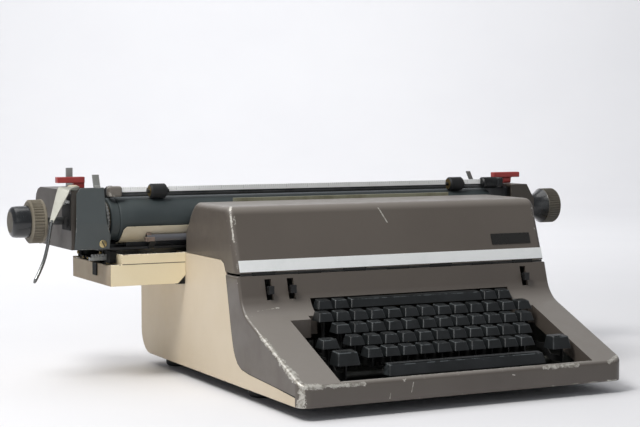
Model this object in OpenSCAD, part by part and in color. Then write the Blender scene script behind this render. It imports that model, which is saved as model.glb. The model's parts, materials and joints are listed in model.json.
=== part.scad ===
/* [Casing] */
// Width of the body across the side casings
body_w = 357; // [345:1:370]
// Depth of the body from the front lip to the rear casing
body_d = 404; // [402:1:430]
// Wall of the casings and of the cover
wall = 3; // [2:0.5:3.5]
// Height of the rubber feet
foot_h = 12; // [9:0.5:12]
// Radius of a rubber foot
foot_r = 15; // [10:1:18]
// Thickness of the bottom pan
pan_t = 3; // [2:0.5:3]
// Height of the top edge of the side casings
casing_top = 132; // [130:0.5:134]
// Height of the front lip above the table
lip_top = 32; // [30:0.5:33]
// Plan radius of the two front corners
corner_r = 12; // [8:1:16]
// Where the sloping deck bends up into the steep face, from the front
bend_y = 128; // [126.5:0.5:129.5]
// Height of that bend
bend_z = 85; // [83.5:0.5:86.5]
// How far the rounded bend reaches along each face
bend_run = 16; // [6:1:18]
// Top edge of the steep face
face_top = 118.6; // [117:0.2:119]
// How far the steep face leans back over its height
face_lean = 10.2; // [8.5:0.1:11.5]

/* [Cover] */
// Open joint between the steep face and the cover
cover_joint = 2.4; // [2.2:0.1:3]
// Height of the flat top of the cover
cover_top = 185; // [183:0.5:190]
// How far the front of the cover leans back over its height
cover_lean = 23; // [18:0.5:26]
// Rear edge of the flat top, in front of the platen axis
cover_rear = 55; // [52:1:60]
// Foot of the sloping rear edge, in front of the platen axis
cover_foot = 31; // [31:1:38]
// Radius of the edge between the front of the cover and its top
cover_edge_r = 12; // [6:1:16]
// Height of the bright trim strip
strip_h = 11; // [8:0.5:12]
// Thickness of the trim strip and the name plate
strip_t = 0.8; // [0.5:0.1:0.9]
// Length of the bare name plate
plate_w = 48; // [30:1:60]
// Height of the bare name plate
plate_h = 11; // [8:0.5:13]
// Radius of the cover's hinge rod
hinge_rod_r = 1; // [0.8:0.1:1.1]

/* [Keyboard] */
// Pitch of the keys along a row
key_pitch = 19.05; // [18.5:0.05:19.4]
// Pitch of the rows, front to back
row_pitch = 18.5; // [18:0.1:19]
// Centre of the front row of letter keys, from the front
front_row_y = 50; // [48:0.5:52]
// Centre of the first key of the number row, left of the middle
first_key_x = -102.5; // [-104:0.5:-101]
// Height of the tops of the front row of letter keys
front_key_top = 56; // [55:0.5:58]
// Rise of each row above the row before it
row_rise = 9.5; // [9:0.1:10]
// Width of a key cap at its foot
cap_w = 16.6; // [15.6:0.2:17.2]
// Depth of a key cap at its foot
cap_d = 17; // [15:0.2:17.4]
// Height of a key cap
cap_h = 9; // [7:0.5:10]
// Sideways taper of a cap, each side
cap_taper = 1.9; // [1.5:0.1:3]
// Thickness of a key lever
lever_t = 1.2; // [1:0.1:1.4]
// Height of a key lever
lever_h = 6; // [5:0.5:7]
// Height of the levers' common fulcrum
fulcrum_z = 40; // [38:0.5:42]
// Place of the levers' common fulcrum, in front of the rear of the body
fulcrum_back = 74; // [70:1:79]
// Radius of the fulcrum shaft
fulcrum_r = 3; // [2:0.5:3.5]
// Left edge of the keyboard opening
well_left = -136; // [-140:1:-133]
// Right edge of the keyboard opening
well_right = 143; // [140:1:148]
// Front edge of the keyboard opening
well_front = 4; // [3.5:0.5:8]
// Length of the space bar
space_w = 174; // [150:1:178]
// Length of the tabulator bar
tab_w = 153; // [130:1:153]

/* [Type basket] */
// Radius from the print point to the type bars' pivots
bar_l = 70; // [66:1:74]
// Pitch of the type bars round the segment, in degrees
bar_step = 2.5; // [2.3:0.1:2.6]
// Type bars on each side of the middle one
bars_side = 22; // [12:1:23]
// Thickness of a type bar
bar_t = 1; // [0.8:0.1:1.1]
// Radius of a ribbon spool
spool_r = 26; // [22:1:27]
// Distance of the spool spindles from the middle
spool_x = 122; // [119:1:124]

/* [Carriage] */
// Carriage off its middle at rest, to the left
carriage_off = -22; // [-30:1:0]
// Length of the platen
platen_l = 450; // [420:1:450]
// Radius of the platen
platen_r = 22.5; // [21:0.5:23]
// Platen axis in front of the rear of the body
platen_back = 104; // [102:0.5:104]
// Platen axis above the table
platen_z = 167; // [166:0.5:168]
// Radius of the platen shaft
shaft_r = 4; // [3:0.5:4.5]
// Outer end of the left knob from the carriage's middle
knob_end = 334; // [331:1:340]
// Outer end of the right knob from the carriage's middle
right_knob_end = 321.5; // [319:0.5:328]
// Radius of the ridged ring of the left knob
knob_r = 22; // [19:0.5:24]
// Half the distance between the bearing plates' inner faces
bearing_x = 243; // [243:0.5:245]
// Half the length of the carriage rail
rail_half = 254; // [240:1:256]
// Radius of a bail roller
bail_roller_r = 7.5; // [6:0.5:8]
// Distance of the bail rollers from the middle
bail_roller_x = 180; // [150:1:200]
// Length of each rail wing beyond the body
wing_l = 82; // [80:1:90]

/* [Hidden] */
$fn = 48;
// Radial clearance of a running shaft, and clearance between moving faces
run_gap = 0.05;
slip = 0.3;
half_w = body_w / 2;
platen_y = body_d - platen_back;
cover_rear_y = platen_y - cover_rear;
cover_foot_y = platen_y - cover_foot;
fulcrum_y = body_d - fulcrum_back;
pan_top = foot_h + pan_t;
rear_round = 26;
deck_slope = (bend_z - lip_top) / bend_y;
face_slope = face_lean / (face_top - bend_z);
face_y = bend_y + face_lean;
function deck_z(y) = lip_top + deck_slope * y;
function face_at(z) = bend_y + face_slope * (z - bend_z);

// Cover: foot of its front wall, the hinge axis in the open joint and the lean of its front
cover_foot_z = face_top + cover_joint;
cover_y0 = face_at(cover_foot_z);
hinge_z = face_top + cover_joint / 2;
hinge_y = face_at(hinge_z) + wall / 2;
lean_angle = atan2(cover_top - cover_foot_z, cover_lean);
function cover_front(z) = cover_y0 + cover_lean * (z - cover_foot_z) / (cover_top - cover_foot_z);
knuckle_r = hinge_rod_r + 0.8;
knuckle_l = 24;
housing_knuckles = [-150, -50, 50, 150];
cover_knuckles = [-100, 0, 100];

// Parting line between the front housing and the side casings, front to back
part_gap = 0.4;
part_line = [
  [11, 21.5], [50, 24.5], [112, 28], [130, 30.5], [138.5, 34.5], [144.5, 41], [149, 50], [154, 66.5],
  [162.3, 101], [166.5, face_top]
];

// Keyboard rows, from the front row back, and their first keys
row_keys = [10, 11, 12, 13];
row_shift = [1.25, 0.75, 0.5, 0];
centre_row = 1;
centre_index = 5;
function row_y(r) = front_row_y + r * row_pitch;
function row_top(r) = front_key_top + r * row_rise;
function key_x(r, k) = first_key_x + (row_shift[r] + k) * key_pitch;
phase = key_pitch / 4;
// Nearest gap between two letter levers
function between(x) = first_key_x + (floor((x - first_key_x) / phase) + 0.5) * phase;
top_row = 4;
function_keys = [-93.3, -75.3, 97.2, 114.8];
tab_x = 11;
tab_arms = [between(-40), between(75)];
space_x = 4.5;
space_y = 15.5;
space_arms = [between(-58), between(66)];
shift_x = [-112, 127];
shift_lever_x = [-112, 132];
shift_y = 41;
lock_x = -117;
lock_y = 67;
drop_z = 28;
drop_end = 62;
comb_y = 139;
well_top = row_top(top_row) + 1;
well_back = face_at(well_top) + wall + 2;
number_row = 3;
// Keyboard opening, narrowing in steps towards the rear: left, right and rear edge of each step
well_steps = [
  [well_left, well_right, row_y(number_row) + 3.5],
  [key_x(number_row, 0) - cap_w / 2 - 3, key_x(number_row, row_keys[number_row] - 1) + cap_w / 2 + 3,
    row_y(number_row) + cap_d / 2 + 1],
  [function_keys[0] - cap_w / 2 - 2.5, function_keys[3] + cap_w / 2 + 2.5, well_back]
];
skirt_t = 2;
skirt_h = 18;

// Selector levers in the steep face: place of each slot
slot_xs = [-147, -123, 148.5];
slot_w = 7;
slot_z = [95, face_top - 3.5];
selector_z = (slot_z[0] + slot_z[1]) / 2;
selector_y = face_at(selector_z) + 22;
selector_rod_r = 2;

// Inner frame
frame_t = 3;
frame_x = half_w - wall - 18;
spool_y = (platen_y + bend_y + wall / 2) / 2;
scale_y = platen_y - 43;
spool_deck_z = 140;
post_x = 92;

// Type basket about the print point
print_y = platen_y - platen_r;
basket_y = print_y - 7.5;
segment_in = bar_l - 8;
segment_out = bar_l + 8;
segment_t = 8;

// Carriage, rail and wings
rail_y = [platen_y + 4, body_d - 20];
rail_foot = 105;
rail_top = 136;
rib_t = 8;
bed_z = rail_top + slip;
bed_t = 2.5;
bed_y = [platen_y - 16, body_d - 14];
bearing_t = 4;
left_outer = 278;
right_outer = 278;
// Slanted outer shoulder of the right end housing: its run and its drop
right_slant = [10, 17];
// Middle of the whole outline from the carriage's middle
outline_mid = (right_knob_end - 1 - knob_end) / 2;
end_front = platen_y - 25;
end_rear = body_d - 6;
left_top = 198;
right_top = 194;
bail_y = platen_y - 10;
bail_z = platen_z + sqrt(pow(platen_r + bail_roller_r + slip, 2) - 100);
bail_pivot = [platen_y + 32, platen_z + 21];
bail_rod_r = 2;
feed_r = 4;
feed_angle = 60;
feed_y = platen_y + (platen_r + feed_r + slip) * cos(feed_angle);
feed_z = platen_z - (platen_r + feed_r + slip) * sin(feed_angle);
hub_r = 3;
lever_hub = [-273.5, platen_y - 17];
wing_front = platen_y - 29;
wing_back = body_d - 11;
wing_foot = 100;
wing_step = 12;

// The part's origin is under the middle of its whole outline
module place() translate([-carriage_off - outline_mid, -body_d / 2, 0]) children();
module on_carriage() place() translate([carriage_off, 0, 0]) children();

// A prism whose outline is drawn in depth and height and which runs from x0 to x1
module across(x0, x1) translate([x0, 0, 0]) rotate([90, 0, 90]) linear_extrude(x1 - x0) children();
module box(lo, hi) translate(lo) cube(hi - lo);
module rod_x(x0, x1, y, z, r) translate([x0, y, z]) rotate([0, 90, 0]) cylinder(r = r, h = x1 - x0);
module rod_y(y0, y1, x, z, r) translate([x, y0, z]) rotate([-90, 0, 0]) cylinder(r = r, h = y1 - y0);
module rod_z(z0, z1, x, y, r) translate([x, y, z0]) cylinder(r = r, h = z1 - z0);
module both_sides() {
  children();
  mirror([1, 0, 0]) children();
}

foot_xs = [-150, 150];
foot_ys = [140, body_d - 44];

pan_x = half_w - wall - slip;
pan_y = [wall + slip, body_d - rear_round - slip];
module bottom_pan() color("#4a4641") place() translate([0, 0, foot_h]) linear_extrude(pan_t) polygon([
  [-pan_x + corner_r, pan_y[0]], [pan_x - corner_r, pan_y[0]], [pan_x, pan_y[0] + corner_r],
  [pan_x, pan_y[1]], [-pan_x, pan_y[1]], [-pan_x, pan_y[0] + corner_r]
]);

module rubber_feet() color("#1c1b1a") place()
  for (x = foot_xs, y = foot_ys)
    translate([x, y, 0]) rotate_extrude()
      polygon([[0, 0], [foot_r - 2, 0], [foot_r, 2], [foot_r, foot_h], [0, foot_h]]);

// Side casing: rear corner rounded at the foot, front edge along the parting line
function rear_arc(r, angles) = [for (a = angles)
  [body_d - rear_round + r * cos(a), foot_h + rear_round + r * sin(a)]];
casing_outline = concat(
  [[part_line[0].x, foot_h]],
  [for (p = part_line) [p.x + part_gap, p.y - part_gap]],
  [[172, 128], [179, casing_top], [body_d, casing_top]],
  rear_arc(rear_round, [0:-15:-90])
);

module side_casing() {
  difference() {
    across(half_w - wall, half_w) polygon(casing_outline);
    box([half_w - wall - 1, rail_y[0] - 6, rail_foot - 3], [half_w + 1, rail_y[1] + 6, casing_top + 1]);
  }
  box([half_w - wall - 14, 60, pan_top], [half_w - wall, body_d - rear_round, pan_top + 2.5]);
}
module left_casing() color("#d6c7ae") place() mirror([1, 0, 0]) side_casing();
module right_casing() color("#d6c7ae") place() side_casing();

module rear_casing() color("#d6c7ae") place() {
  across(-half_w + wall, half_w - wall) polygon(concat(
    rear_arc(rear_round, [-90:15:0]),
    [[body_d, casing_top], [body_d - wall, casing_top]],
    rear_arc(rear_round - wall, [0:-15:-90])
  ));
}

// Open-topped trays that carry the rail ends beyond the body
wing_return = 29;
module rail_wing() {
  x1 = half_w + wing_l;
  t = wall - 0.5;
  mid = casing_top - 10;
  difference() {
    union() {
      box([half_w, wing_front, wing_foot], [x1, wing_back, mid]);
      box([half_w, wing_front, mid], [x1 - wing_step, wing_back, casing_top]);
    }
    box([half_w - 1, wing_front + t, mid - 1], [x1 + 1, wing_back - t, casing_top + 1]);
    box([half_w - 1, wing_front + t, wing_foot + t], [x1 - t, wing_back - t, mid + 1]);
    translate([half_w, wing_front - 1, wing_foot]) rotate([0, 45, 0]) translate([-6, 0, -6])
      cube([12, 12, 12]);
  }
  box([x1 - wing_step - t, wing_front, mid - 1], [x1 - wing_step, wing_front + wing_return, casing_top]);
}
module rail_wings() color("#ddd0b6") place() both_sides() rail_wing();

// Shell of the front housing: lip, deck and steep face with their cheeks
wall_d = wall / cos(atan(deck_slope));
wall_f = wall / cos(atan(face_slope));
bend_in = (wall_f - wall_d * face_slope) / (1 - deck_slope * face_slope);
bend = [bend_y, bend_z];
bend_from = bend - bend_run * [cos(atan(deck_slope)), sin(atan(deck_slope))];
bend_to = bend + bend_run * [sin(atan(face_slope)), cos(atan(face_slope))];
bend_curve = [for (t = [0:0.125:1])
  pow(1 - t, 2) * bend_from + 2 * t * (1 - t) * bend + pow(t, 2) * bend_to];
housing_outline = concat(
  [[0, foot_h], [0, lip_top]], bend_curve, [[face_y, face_top]],
  [for (i = [len(part_line) - 1:-1:0]) part_line[i]],
  [[part_line[0].x, foot_h]]
);
housing_hollow = [
  [wall, foot_h - 1], [wall, deck_z(wall) - wall_d],
  [bend_y + bend_in, bend_z + bend_in * deck_slope - wall_d],
  [face_at(face_top + 1) + wall_f, face_top + 1], [200, face_top + 1], [200, foot_h - 1]
];
module plan(w, r, y0) linear_extrude(300) {
  translate([-w / 2, y0 + r]) square([w, 400]);
  translate([-w / 2 + r, y0]) square([w - 2 * r, 2 * r]);
  for (s = [-1, 1]) translate([s * (w / 2 - r), y0 + r]) circle(r);
}
module well_space(grow) for (s = well_steps)
  box([s[0] - grow, well_front - grow, 0], [s[1] + grow, s[2] + grow, well_top]);

module front_housing() color("#746e67") place() {
  difference() {
    union() {
      difference() {
        intersection() {
          across(-half_w, half_w) polygon(housing_outline);
          plan(body_w, corner_r, 0);
        }
        intersection() {
          across(-half_w + wall, half_w - wall) polygon(housing_hollow);
          plan(body_w - 2 * wall, corner_r - wall, wall);
        }
      }
      intersection() {
        well_space(skirt_t);
        across(-half_w + wall, half_w - wall) polygon([
          [well_front - skirt_t, deck_z(well_front) - skirt_h],
          [well_front - skirt_t, deck_z(well_front - skirt_t) - 1],
          [bend_y, bend_z - 1], [bend_y, bend_z - skirt_h]
        ]);
      }
      for (x = housing_knuckles) rod_x(x - knuckle_l / 2, x + knuckle_l / 2, hinge_y, hinge_z, knuckle_r);
    }
    well_space(0);
    for (x = slot_xs) box([x - slot_w / 2, bend_y, slot_z[0]], [x + slot_w / 2, face_y + 8, slot_z[1]]);
    for (x = cover_knuckles)
      rod_x(x - knuckle_l / 2 - 1, x + knuckle_l / 2 + 1, hinge_y, hinge_z, knuckle_r + slip);
    rod_x(-half_w + wall, half_w - wall, hinge_y, hinge_z, hinge_rod_r + run_gap);
  }
}

// Cover shell, open behind and below
edge_y = cover_front(cover_top) + cover_edge_r * tan(lean_angle / 2);
function edge_arc(r) = [for (i = [6:-1:0]) let (a = 90 + lean_angle * i / 6)
  [edge_y + r * cos(a), cover_top - cover_edge_r + r * sin(a)]];
cover_side_z = casing_top + slip;
cover_drop = 33;
rear_curve = [for (a = [0:15:90])
  [cover_rear_y + (cover_foot_y - cover_rear_y) * sin(a),
   cover_top - cover_drop * (0.3 * sin(a) + 0.7 * (1 - cos(a)))]];
cover_outline = concat(
  [[cover_y0, cover_foot_z]], edge_arc(cover_edge_r), rear_curve,
  [[cover_foot_y, cover_side_z], [179, cover_side_z], [171.9, 128.8], [167.4, cover_foot_z]]
);
inner_front = wall / sin(lean_angle);
cover_beyond = cover_foot_y + 40;
cover_hollow = concat(
  [[cover_front(cover_foot_z - 5) + inner_front, cover_foot_z - 5]], edge_arc(cover_edge_r - wall),
  [[cover_beyond, cover_top - wall], [cover_beyond, cover_foot_z - 5]]
);
module top_cover() color("#5f5850") place() difference() {
  union() {
    difference() {
      across(-half_w, half_w) polygon(cover_outline);
      across(-half_w + wall, half_w - wall) polygon(cover_hollow);
    }
    for (x = cover_knuckles) rod_x(x - knuckle_l / 2, x + knuckle_l / 2, hinge_y, hinge_z, knuckle_r);
  }
  for (x = housing_knuckles)
    rod_x(x - knuckle_l / 2 - 1, x + knuckle_l / 2 + 1, hinge_y, hinge_z, knuckle_r + slip);
  rod_x(-half_w + wall, half_w - wall, hinge_y, hinge_z, hinge_rod_r + run_gap);
}
module cover_hinge_rod() color("#5a5853") place()
  rod_x(-half_w + wall + 1, half_w - wall - 1, hinge_y, hinge_z, hinge_rod_r);

// Flat trim that lies on the leaning front of the cover between two heights
module on_front(x0, x1, z0, z1) across(x0, x1) polygon([
  [cover_front(z0), z0], [cover_front(z0) - strip_t, z0],
  [cover_front(z1) - strip_t, z1], [cover_front(z1), z1]]);
strip_z = cover_foot_z + 1.5;
module trim_strip() color("#cfd4d3") place()
  on_front(-half_w + wall, half_w - wall, strip_z, strip_z + strip_h);
module name_plate() color("#1b1917") place()
  on_front(140 - plate_w / 2, 140 + plate_w / 2, 144 - plate_h / 2, 144 + plate_h / 2);

// Inner frame: side plates, spool decks with spindles, basket guides, ties and the drum's spindle
rear_plate_y = body_d - 16;
rear_plate_foot = pan_top + rear_round;
deck_back = scale_y + 5;
frame_outline = [
  [60, pan_top], [60, 40], [120, 64], [selector_y - 10, 98], [selector_y - 10, 113], [selector_y + 10, 113],
  [spool_y - 33, spool_deck_z + frame_t], [deck_back, spool_deck_z + frame_t], [platen_y - 15, rail_foot],
  [rear_plate_y + 4, rail_foot], [rear_plate_y + 4, rear_plate_foot], [body_d - rear_round - 4, pan_top]
];
drum_x = -120;
drum_z = 70;
drum_r = 28;
spindle_r = 2;
module frame_side() {
  difference() {
    across(frame_x, frame_x + frame_t) polygon(frame_outline);
    rod_x(frame_x - 1, frame_x + frame_t + 1, fulcrum_y, fulcrum_z, fulcrum_r + run_gap);
  }
  box([post_x, spool_y - 27, spool_deck_z], [frame_x, deck_back, spool_deck_z + frame_t]);
  box([post_x, basket_y - 14, 60], [post_x + frame_t, basket_y + 4, spool_deck_z + frame_t]);
  rod_z(spool_deck_z, spool_deck_z + 28, spool_x, spool_y, spindle_r);
}
module machine_frame() color("#6b6a66") place() {
  both_sides() frame_side();
  box([-frame_x, rear_plate_y, rear_plate_foot], [frame_x, rear_plate_y + frame_t, rail_foot - 5]);
  rod_y(rear_plate_y - 43, rear_plate_y + 1, drum_x, drum_z, 3);
  rod_x(-frame_x, frame_x, 100, pan_top + 6, 4);
  rod_x(-frame_x, frame_x, selector_y, selector_z, selector_rod_r);
}

module carriage_rail() color("#8b8c88") place() across(-rail_half, rail_half) polygon([
  [rail_y[0], rail_foot], [rail_y[1], rail_foot], [rail_y[1], rail_top], [rail_y[1] - rib_t, rail_top],
  [rail_y[1] - rib_t, rail_foot + 6], [rail_y[0] + rib_t, rail_foot + 6], [rail_y[0] + rib_t, rail_top],
  [rail_y[0], rail_top]
]);

module fulcrum_shaft() color("#9a9b98") place()
  rod_x(-frame_x - frame_t, frame_x + frame_t, fulcrum_y, fulcrum_z, fulcrum_r);

lever_xs = concat(
  [for (r = [0:3]) for (k = [0:row_keys[r] - 1]) key_x(r, k)],
  [for (x = function_keys) between(x)], tab_arms, space_arms, shift_lever_x
);
module key_comb() color("#80817d") place() difference() {
  box([-frame_x, comb_y, pan_top], [frame_x, comb_y + 2.5, fulcrum_z + 12]);
  for (x = lever_xs)
    box([x - lever_t / 2 - slip, comb_y - 1, pan_top + 6],
        [x + lever_t / 2 + slip, comb_y + 4, fulcrum_z + 13]);
}

scale_half = 130;
scale_t = 3;
scale_z = [cover_top - 9, cover_top + 3];
scale_post = [scale_half - 22, scale_half - 16];
module line_scale() color("#8a7a58") place() {
  box([-scale_half, scale_y, scale_z[0]], [scale_half, scale_y + scale_t, scale_z[1]]);
  both_sides()
    box([scale_post[0], scale_y, spool_deck_z + frame_t],
        [scale_post[1], scale_y + scale_t, scale_z[0] + 1]);
}

bell_x = 120;
bell_r = 20;
module margin_bell() color("#b9a87a") place() {
  translate([bell_x, rear_plate_y - 26, drum_z]) rotate([90, 0, 0]) rotate_extrude() polygon(concat(
    [for (a = [0:15:90]) [bell_r * cos(a), bell_r * sin(a)]],
    [for (a = [90:-15:0]) [(bell_r - 1.5) * cos(a), (bell_r - 1.5) * sin(a)]]
  ));
  rod_y(rear_plate_y - 26 - bell_r + 0.5, rear_plate_y, bell_x, drum_z, 2.5);
}
module mainspring_drum() color("#77736b") place() difference() {
  union() {
    rod_y(rear_plate_y - 40, rear_plate_y - 22, drum_x, drum_z, drum_r - 2);
    for (y = [rear_plate_y - 42, rear_plate_y - 22]) rod_y(y, y + 2, drum_x, drum_z, drum_r);
  }
  rod_y(rear_plate_y - 45, rear_plate_y, drum_x, drum_z, 3 + run_gap);
}

// Rake of a cap's front and back, and fall of its top towards the typist
cap_front = 3.2;
cap_back = 2;
cap_fall = 1;
// A key cap on its foot, with tapered sides
module cap(w, d, h) intersection() {
  translate([0, d / 2, 0]) rotate([90, 0, 0]) linear_extrude(d)
    polygon([[-w / 2, 0], [w / 2, 0], [w / 2 - cap_taper, h], [-w / 2 + cap_taper, h]]);
  across(-w / 2, w / 2)
    polygon([[-d / 2, 0], [d / 2, 0], [d / 2 - cap_back, h], [-d / 2 + cap_front, h - cap_fall]]);
}
module lever(x, y, top) difference() {
  union() {
    across(x - lever_t / 2, x + lever_t / 2) polygon([
      [y - 2, fulcrum_z - lever_h / 2], [fulcrum_y, fulcrum_z - lever_h / 2],
      [fulcrum_y, fulcrum_z + lever_h / 2],
      [y + 2, fulcrum_z + lever_h / 2], [y + 2, top], [y - 2, top]]);
    rod_x(x - lever_t / 2, x + lever_t / 2, fulcrum_y, fulcrum_z, fulcrum_r + 3);
  }
  rod_x(x - lever_t, x + lever_t, fulcrum_y, fulcrum_z, fulcrum_r + run_gap);
}
// A lever whose front end dips below the levers of the letter keys
module dropped_lever(x, y, top) difference() {
  union() {
    across(x - lever_t / 2, x + lever_t / 2) polygon([
      [y - 2, drop_z], [drop_end, drop_z], [drop_end + 14, fulcrum_z - lever_h / 2],
      [fulcrum_y, fulcrum_z - lever_h / 2], [fulcrum_y, fulcrum_z + lever_h / 2],
      [drop_end + 8, fulcrum_z + lever_h / 2], [drop_end - 2, drop_z + lever_h],
      [y + 2, drop_z + lever_h], [y + 2, top], [y - 2, top]]);
    rod_x(x - lever_t / 2, x + lever_t / 2, fulcrum_y, fulcrum_z, fulcrum_r + 3);
  }
  rod_x(x - lever_t, x + lever_t, fulcrum_y, fulcrum_z, fulcrum_r + run_gap);
}
function letters(r) = [for (k = [0:row_keys[r] - 1]) if (r != centre_row || k != centre_index) k];
module row_caps(r) color("#22252a") place()
  for (k = letters(r)) translate([key_x(r, k), row_y(r), row_top(r) - cap_h]) cap(cap_w, cap_d, cap_h);
module row_levers(r) color("#8d8e8a") place()
  for (k = letters(r)) lever(key_x(r, k), row_y(r), row_top(r) - cap_h);
module front_letter_keys() row_caps(0);
module front_letter_levers() row_levers(0);
module home_keys() row_caps(1);
module home_levers() row_levers(1);
module upper_letter_keys() row_caps(2);
module upper_letter_levers() row_levers(2);
module number_keys() row_caps(3);
module number_levers() row_levers(3);
module centre_key() color("#22252a") place() {
  x = key_x(centre_row, centre_index);
  translate([x, row_y(centre_row), row_top(centre_row) - cap_h]) cap(cap_w, cap_d, cap_h);
  lever(x, row_y(centre_row), row_top(centre_row) - cap_h + 1);
}
top_cap_d = cap_d - 2.5;
module function_key_set() color("#22252a") place() for (x = function_keys) {
  translate([x, row_y(top_row), row_top(top_row) - cap_h]) cap(cap_w, top_cap_d, cap_h);
  lever(between(x), row_y(top_row), row_top(top_row) - cap_h + 1);
}
module tab_bar() color("#22252a") place() {
  translate([tab_x, row_y(top_row), row_top(top_row) - cap_h]) cap(tab_w, top_cap_d, cap_h);
  for (x = tab_arms) lever(x, row_y(top_row), row_top(top_row) - cap_h + 1);
}
space_top = 45;
space_d = 14;
module space_bar() color("#22252a") place() {
  translate([space_x, space_y, drop_z + lever_h]) cap(space_w, space_d, space_top - drop_z - lever_h);
  for (x = space_arms) dropped_lever(x, space_y, drop_z + lever_h + 1);
}
shift_w = [24, 22];
shift_d = 18;
shift_h = 13;
shift_top = 55.5;
module shift_keys() color("#22252a") place() for (i = [0, 1])
  translate([shift_x[i], shift_y, shift_top - shift_h]) cap(shift_w[i], shift_d, shift_h);
cross_y = fulcrum_y - 40;
lock_pin_y = 100;
lock_pin_r = 2;
module shift_levers() color("#8d8e8a") place() {
  for (x = shift_lever_x) {
    dropped_lever(x, shift_y, shift_top - shift_h);
    box([x - lever_t / 2, cross_y - 4, fulcrum_z - 14], [x + lever_t / 2, cross_y + 4, fulcrum_z]);
  }
  rod_x(shift_lever_x[0], shift_lever_x[1], cross_y, fulcrum_z - 12, 2.5);
  rod_x(lock_x - 2, shift_lever_x[0], lock_pin_y, fulcrum_z, lock_pin_r);
}
lock_top = 64;
module shift_lock_key() color("#22252a") place() {
  translate([lock_x, lock_y, lock_top - cap_h]) cap(cap_w + 2, cap_d, cap_h);
  difference() {
    union() {
      across(lock_x - lever_t / 2, lock_x + lever_t / 2) polygon([
        [lock_y - 2, fulcrum_z - lever_h / 2], [lock_pin_y, fulcrum_z - lever_h / 2],
        [lock_pin_y, fulcrum_z + lever_h / 2], [lock_y + 2, fulcrum_z + lever_h / 2],
        [lock_y + 2, lock_top - cap_h + 1], [lock_y - 2, lock_top - cap_h + 1]]);
      rod_x(lock_x - lever_t / 2, lock_x + lever_t / 2, lock_pin_y, fulcrum_z, lock_pin_r + 2.5);
    }
    rod_x(lock_x - lever_t, lock_x + lever_t, lock_pin_y, fulcrum_z, lock_pin_r + run_gap);
  }
}

// A selector lever on its rod, with its tab in front of the steep face
module selector(x) color("#191a1b") place() {
  front = face_at(selector_z);
  difference() {
    union() {
      box([x - 1.5, front - 4, selector_z - 2], [x + 1.5, selector_y, selector_z + 2]);
      box([x - 3, front - 6.5, selector_z - 4], [x + 3, front - 2.5, selector_z + 4]);
      rod_x(x - 1.5, x + 1.5, selector_y, selector_z, selector_rod_r + 3);
    }
    rod_x(x - 2, x + 2, selector_y, selector_z, selector_rod_r + run_gap);
  }
}
module selector_left() selector(slot_xs[0]);
module selector_middle() selector(slot_xs[1]);
module selector_right() selector(slot_xs[2]);

// Type basket: a slotted segment with its bars lying forward, about the print point
module facing(y0, y1) translate([0, y1, 0]) rotate([90, 0, 0]) linear_extrude(y1 - y0) children();
module round_print(i) translate([0, 0, platen_z]) rotate([0, i * bar_step, 0]) children();
basket_span = (bars_side + 2.5) * bar_step;
wedge = 2 * segment_out;
head_w = 2.2;
bar_gap = 0.2;
bar_eye_r = 3;
module type_segment() color("#7f807c") place() {
  difference() {
    intersection() {
      difference() {
        rod_y(basket_y - segment_t / 2, basket_y + segment_t / 2, 0, platen_z, segment_out);
        rod_y(basket_y - segment_t, basket_y + segment_t, 0, platen_z, segment_in);
      }
      translate([0, 0, platen_z]) facing(basket_y - segment_t, basket_y + segment_t) polygon([
        [0, 0], [-wedge * sin(basket_span), -wedge * cos(basket_span)], [-wedge * sin(basket_span), -wedge],
        [wedge * sin(basket_span), -wedge], [wedge * sin(basket_span), -wedge * cos(basket_span)]]);
    }
    for (i = [-bars_side:bars_side]) round_print(i)
      box([-bar_t / 2 - bar_gap, basket_y - segment_t, -bar_l - 4],
          [bar_t / 2 + bar_gap, basket_y + segment_t, -segment_in + 1]);
  }
  lug_z = platen_z - segment_out * cos(basket_span - 6);
  both_sides() box(
    [segment_out * sin(basket_span - 6) - 3, basket_y - segment_t / 2, lug_z - 6],
    [post_x - slip, basket_y + segment_t / 2, lug_z + 2]);
}
module bar() {
  box([-bar_t / 2, basket_y - bar_l + 4, -bar_l - 2.5], [bar_t / 2, basket_y + 3, -bar_l + 2.5]);
  box([-head_w / 2, basket_y - bar_l + 1, -bar_l - 2.5], [head_w / 2, basket_y - bar_l + 9, -bar_l + 6.5]);
}
module typebars() color("#a5a6a2") place()
  for (i = [-bars_side:bars_side]) if (i != 0) round_print(i) bar();
module centre_typebar() color("#b4b5b1") place() round_print(0) {
  bar();
  rod_x(-bar_t / 2, bar_t / 2, basket_y, -bar_l, bar_eye_r);
}

vibrator_y = [basket_y + 2.9, basket_y + 3.6];
vibrator_foot = platen_z - segment_in + 1.2;
module ribbon_vibrator() color("#8f908c") place() facing(vibrator_y[0], vibrator_y[1]) polygon([
  [-10, vibrator_foot], [10, vibrator_foot], [10, platen_z + 5], [6, platen_z + 5], [6, platen_z - 17],
  [-6, platen_z - 17], [-6, platen_z + 5], [-10, platen_z + 5]]);

spool_foot = spool_deck_z + frame_t + slip;
module ribbon_spool(x) color("#4b4a49") place() translate([x, spool_y, spool_foot]) difference() {
  union() {
    cylinder(r = spool_r, h = 1.4);
    cylinder(r = spool_r - 5, h = 19);
    translate([0, 0, 18]) cylinder(r = spool_r, h = 1.4);
  }
  translate([0, 0, -1]) cylinder(r = spindle_r + run_gap, h = 30);
}
module ribbon_spool_left() ribbon_spool(-spool_x);
module ribbon_spool_right() ribbon_spool(spool_x);

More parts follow.
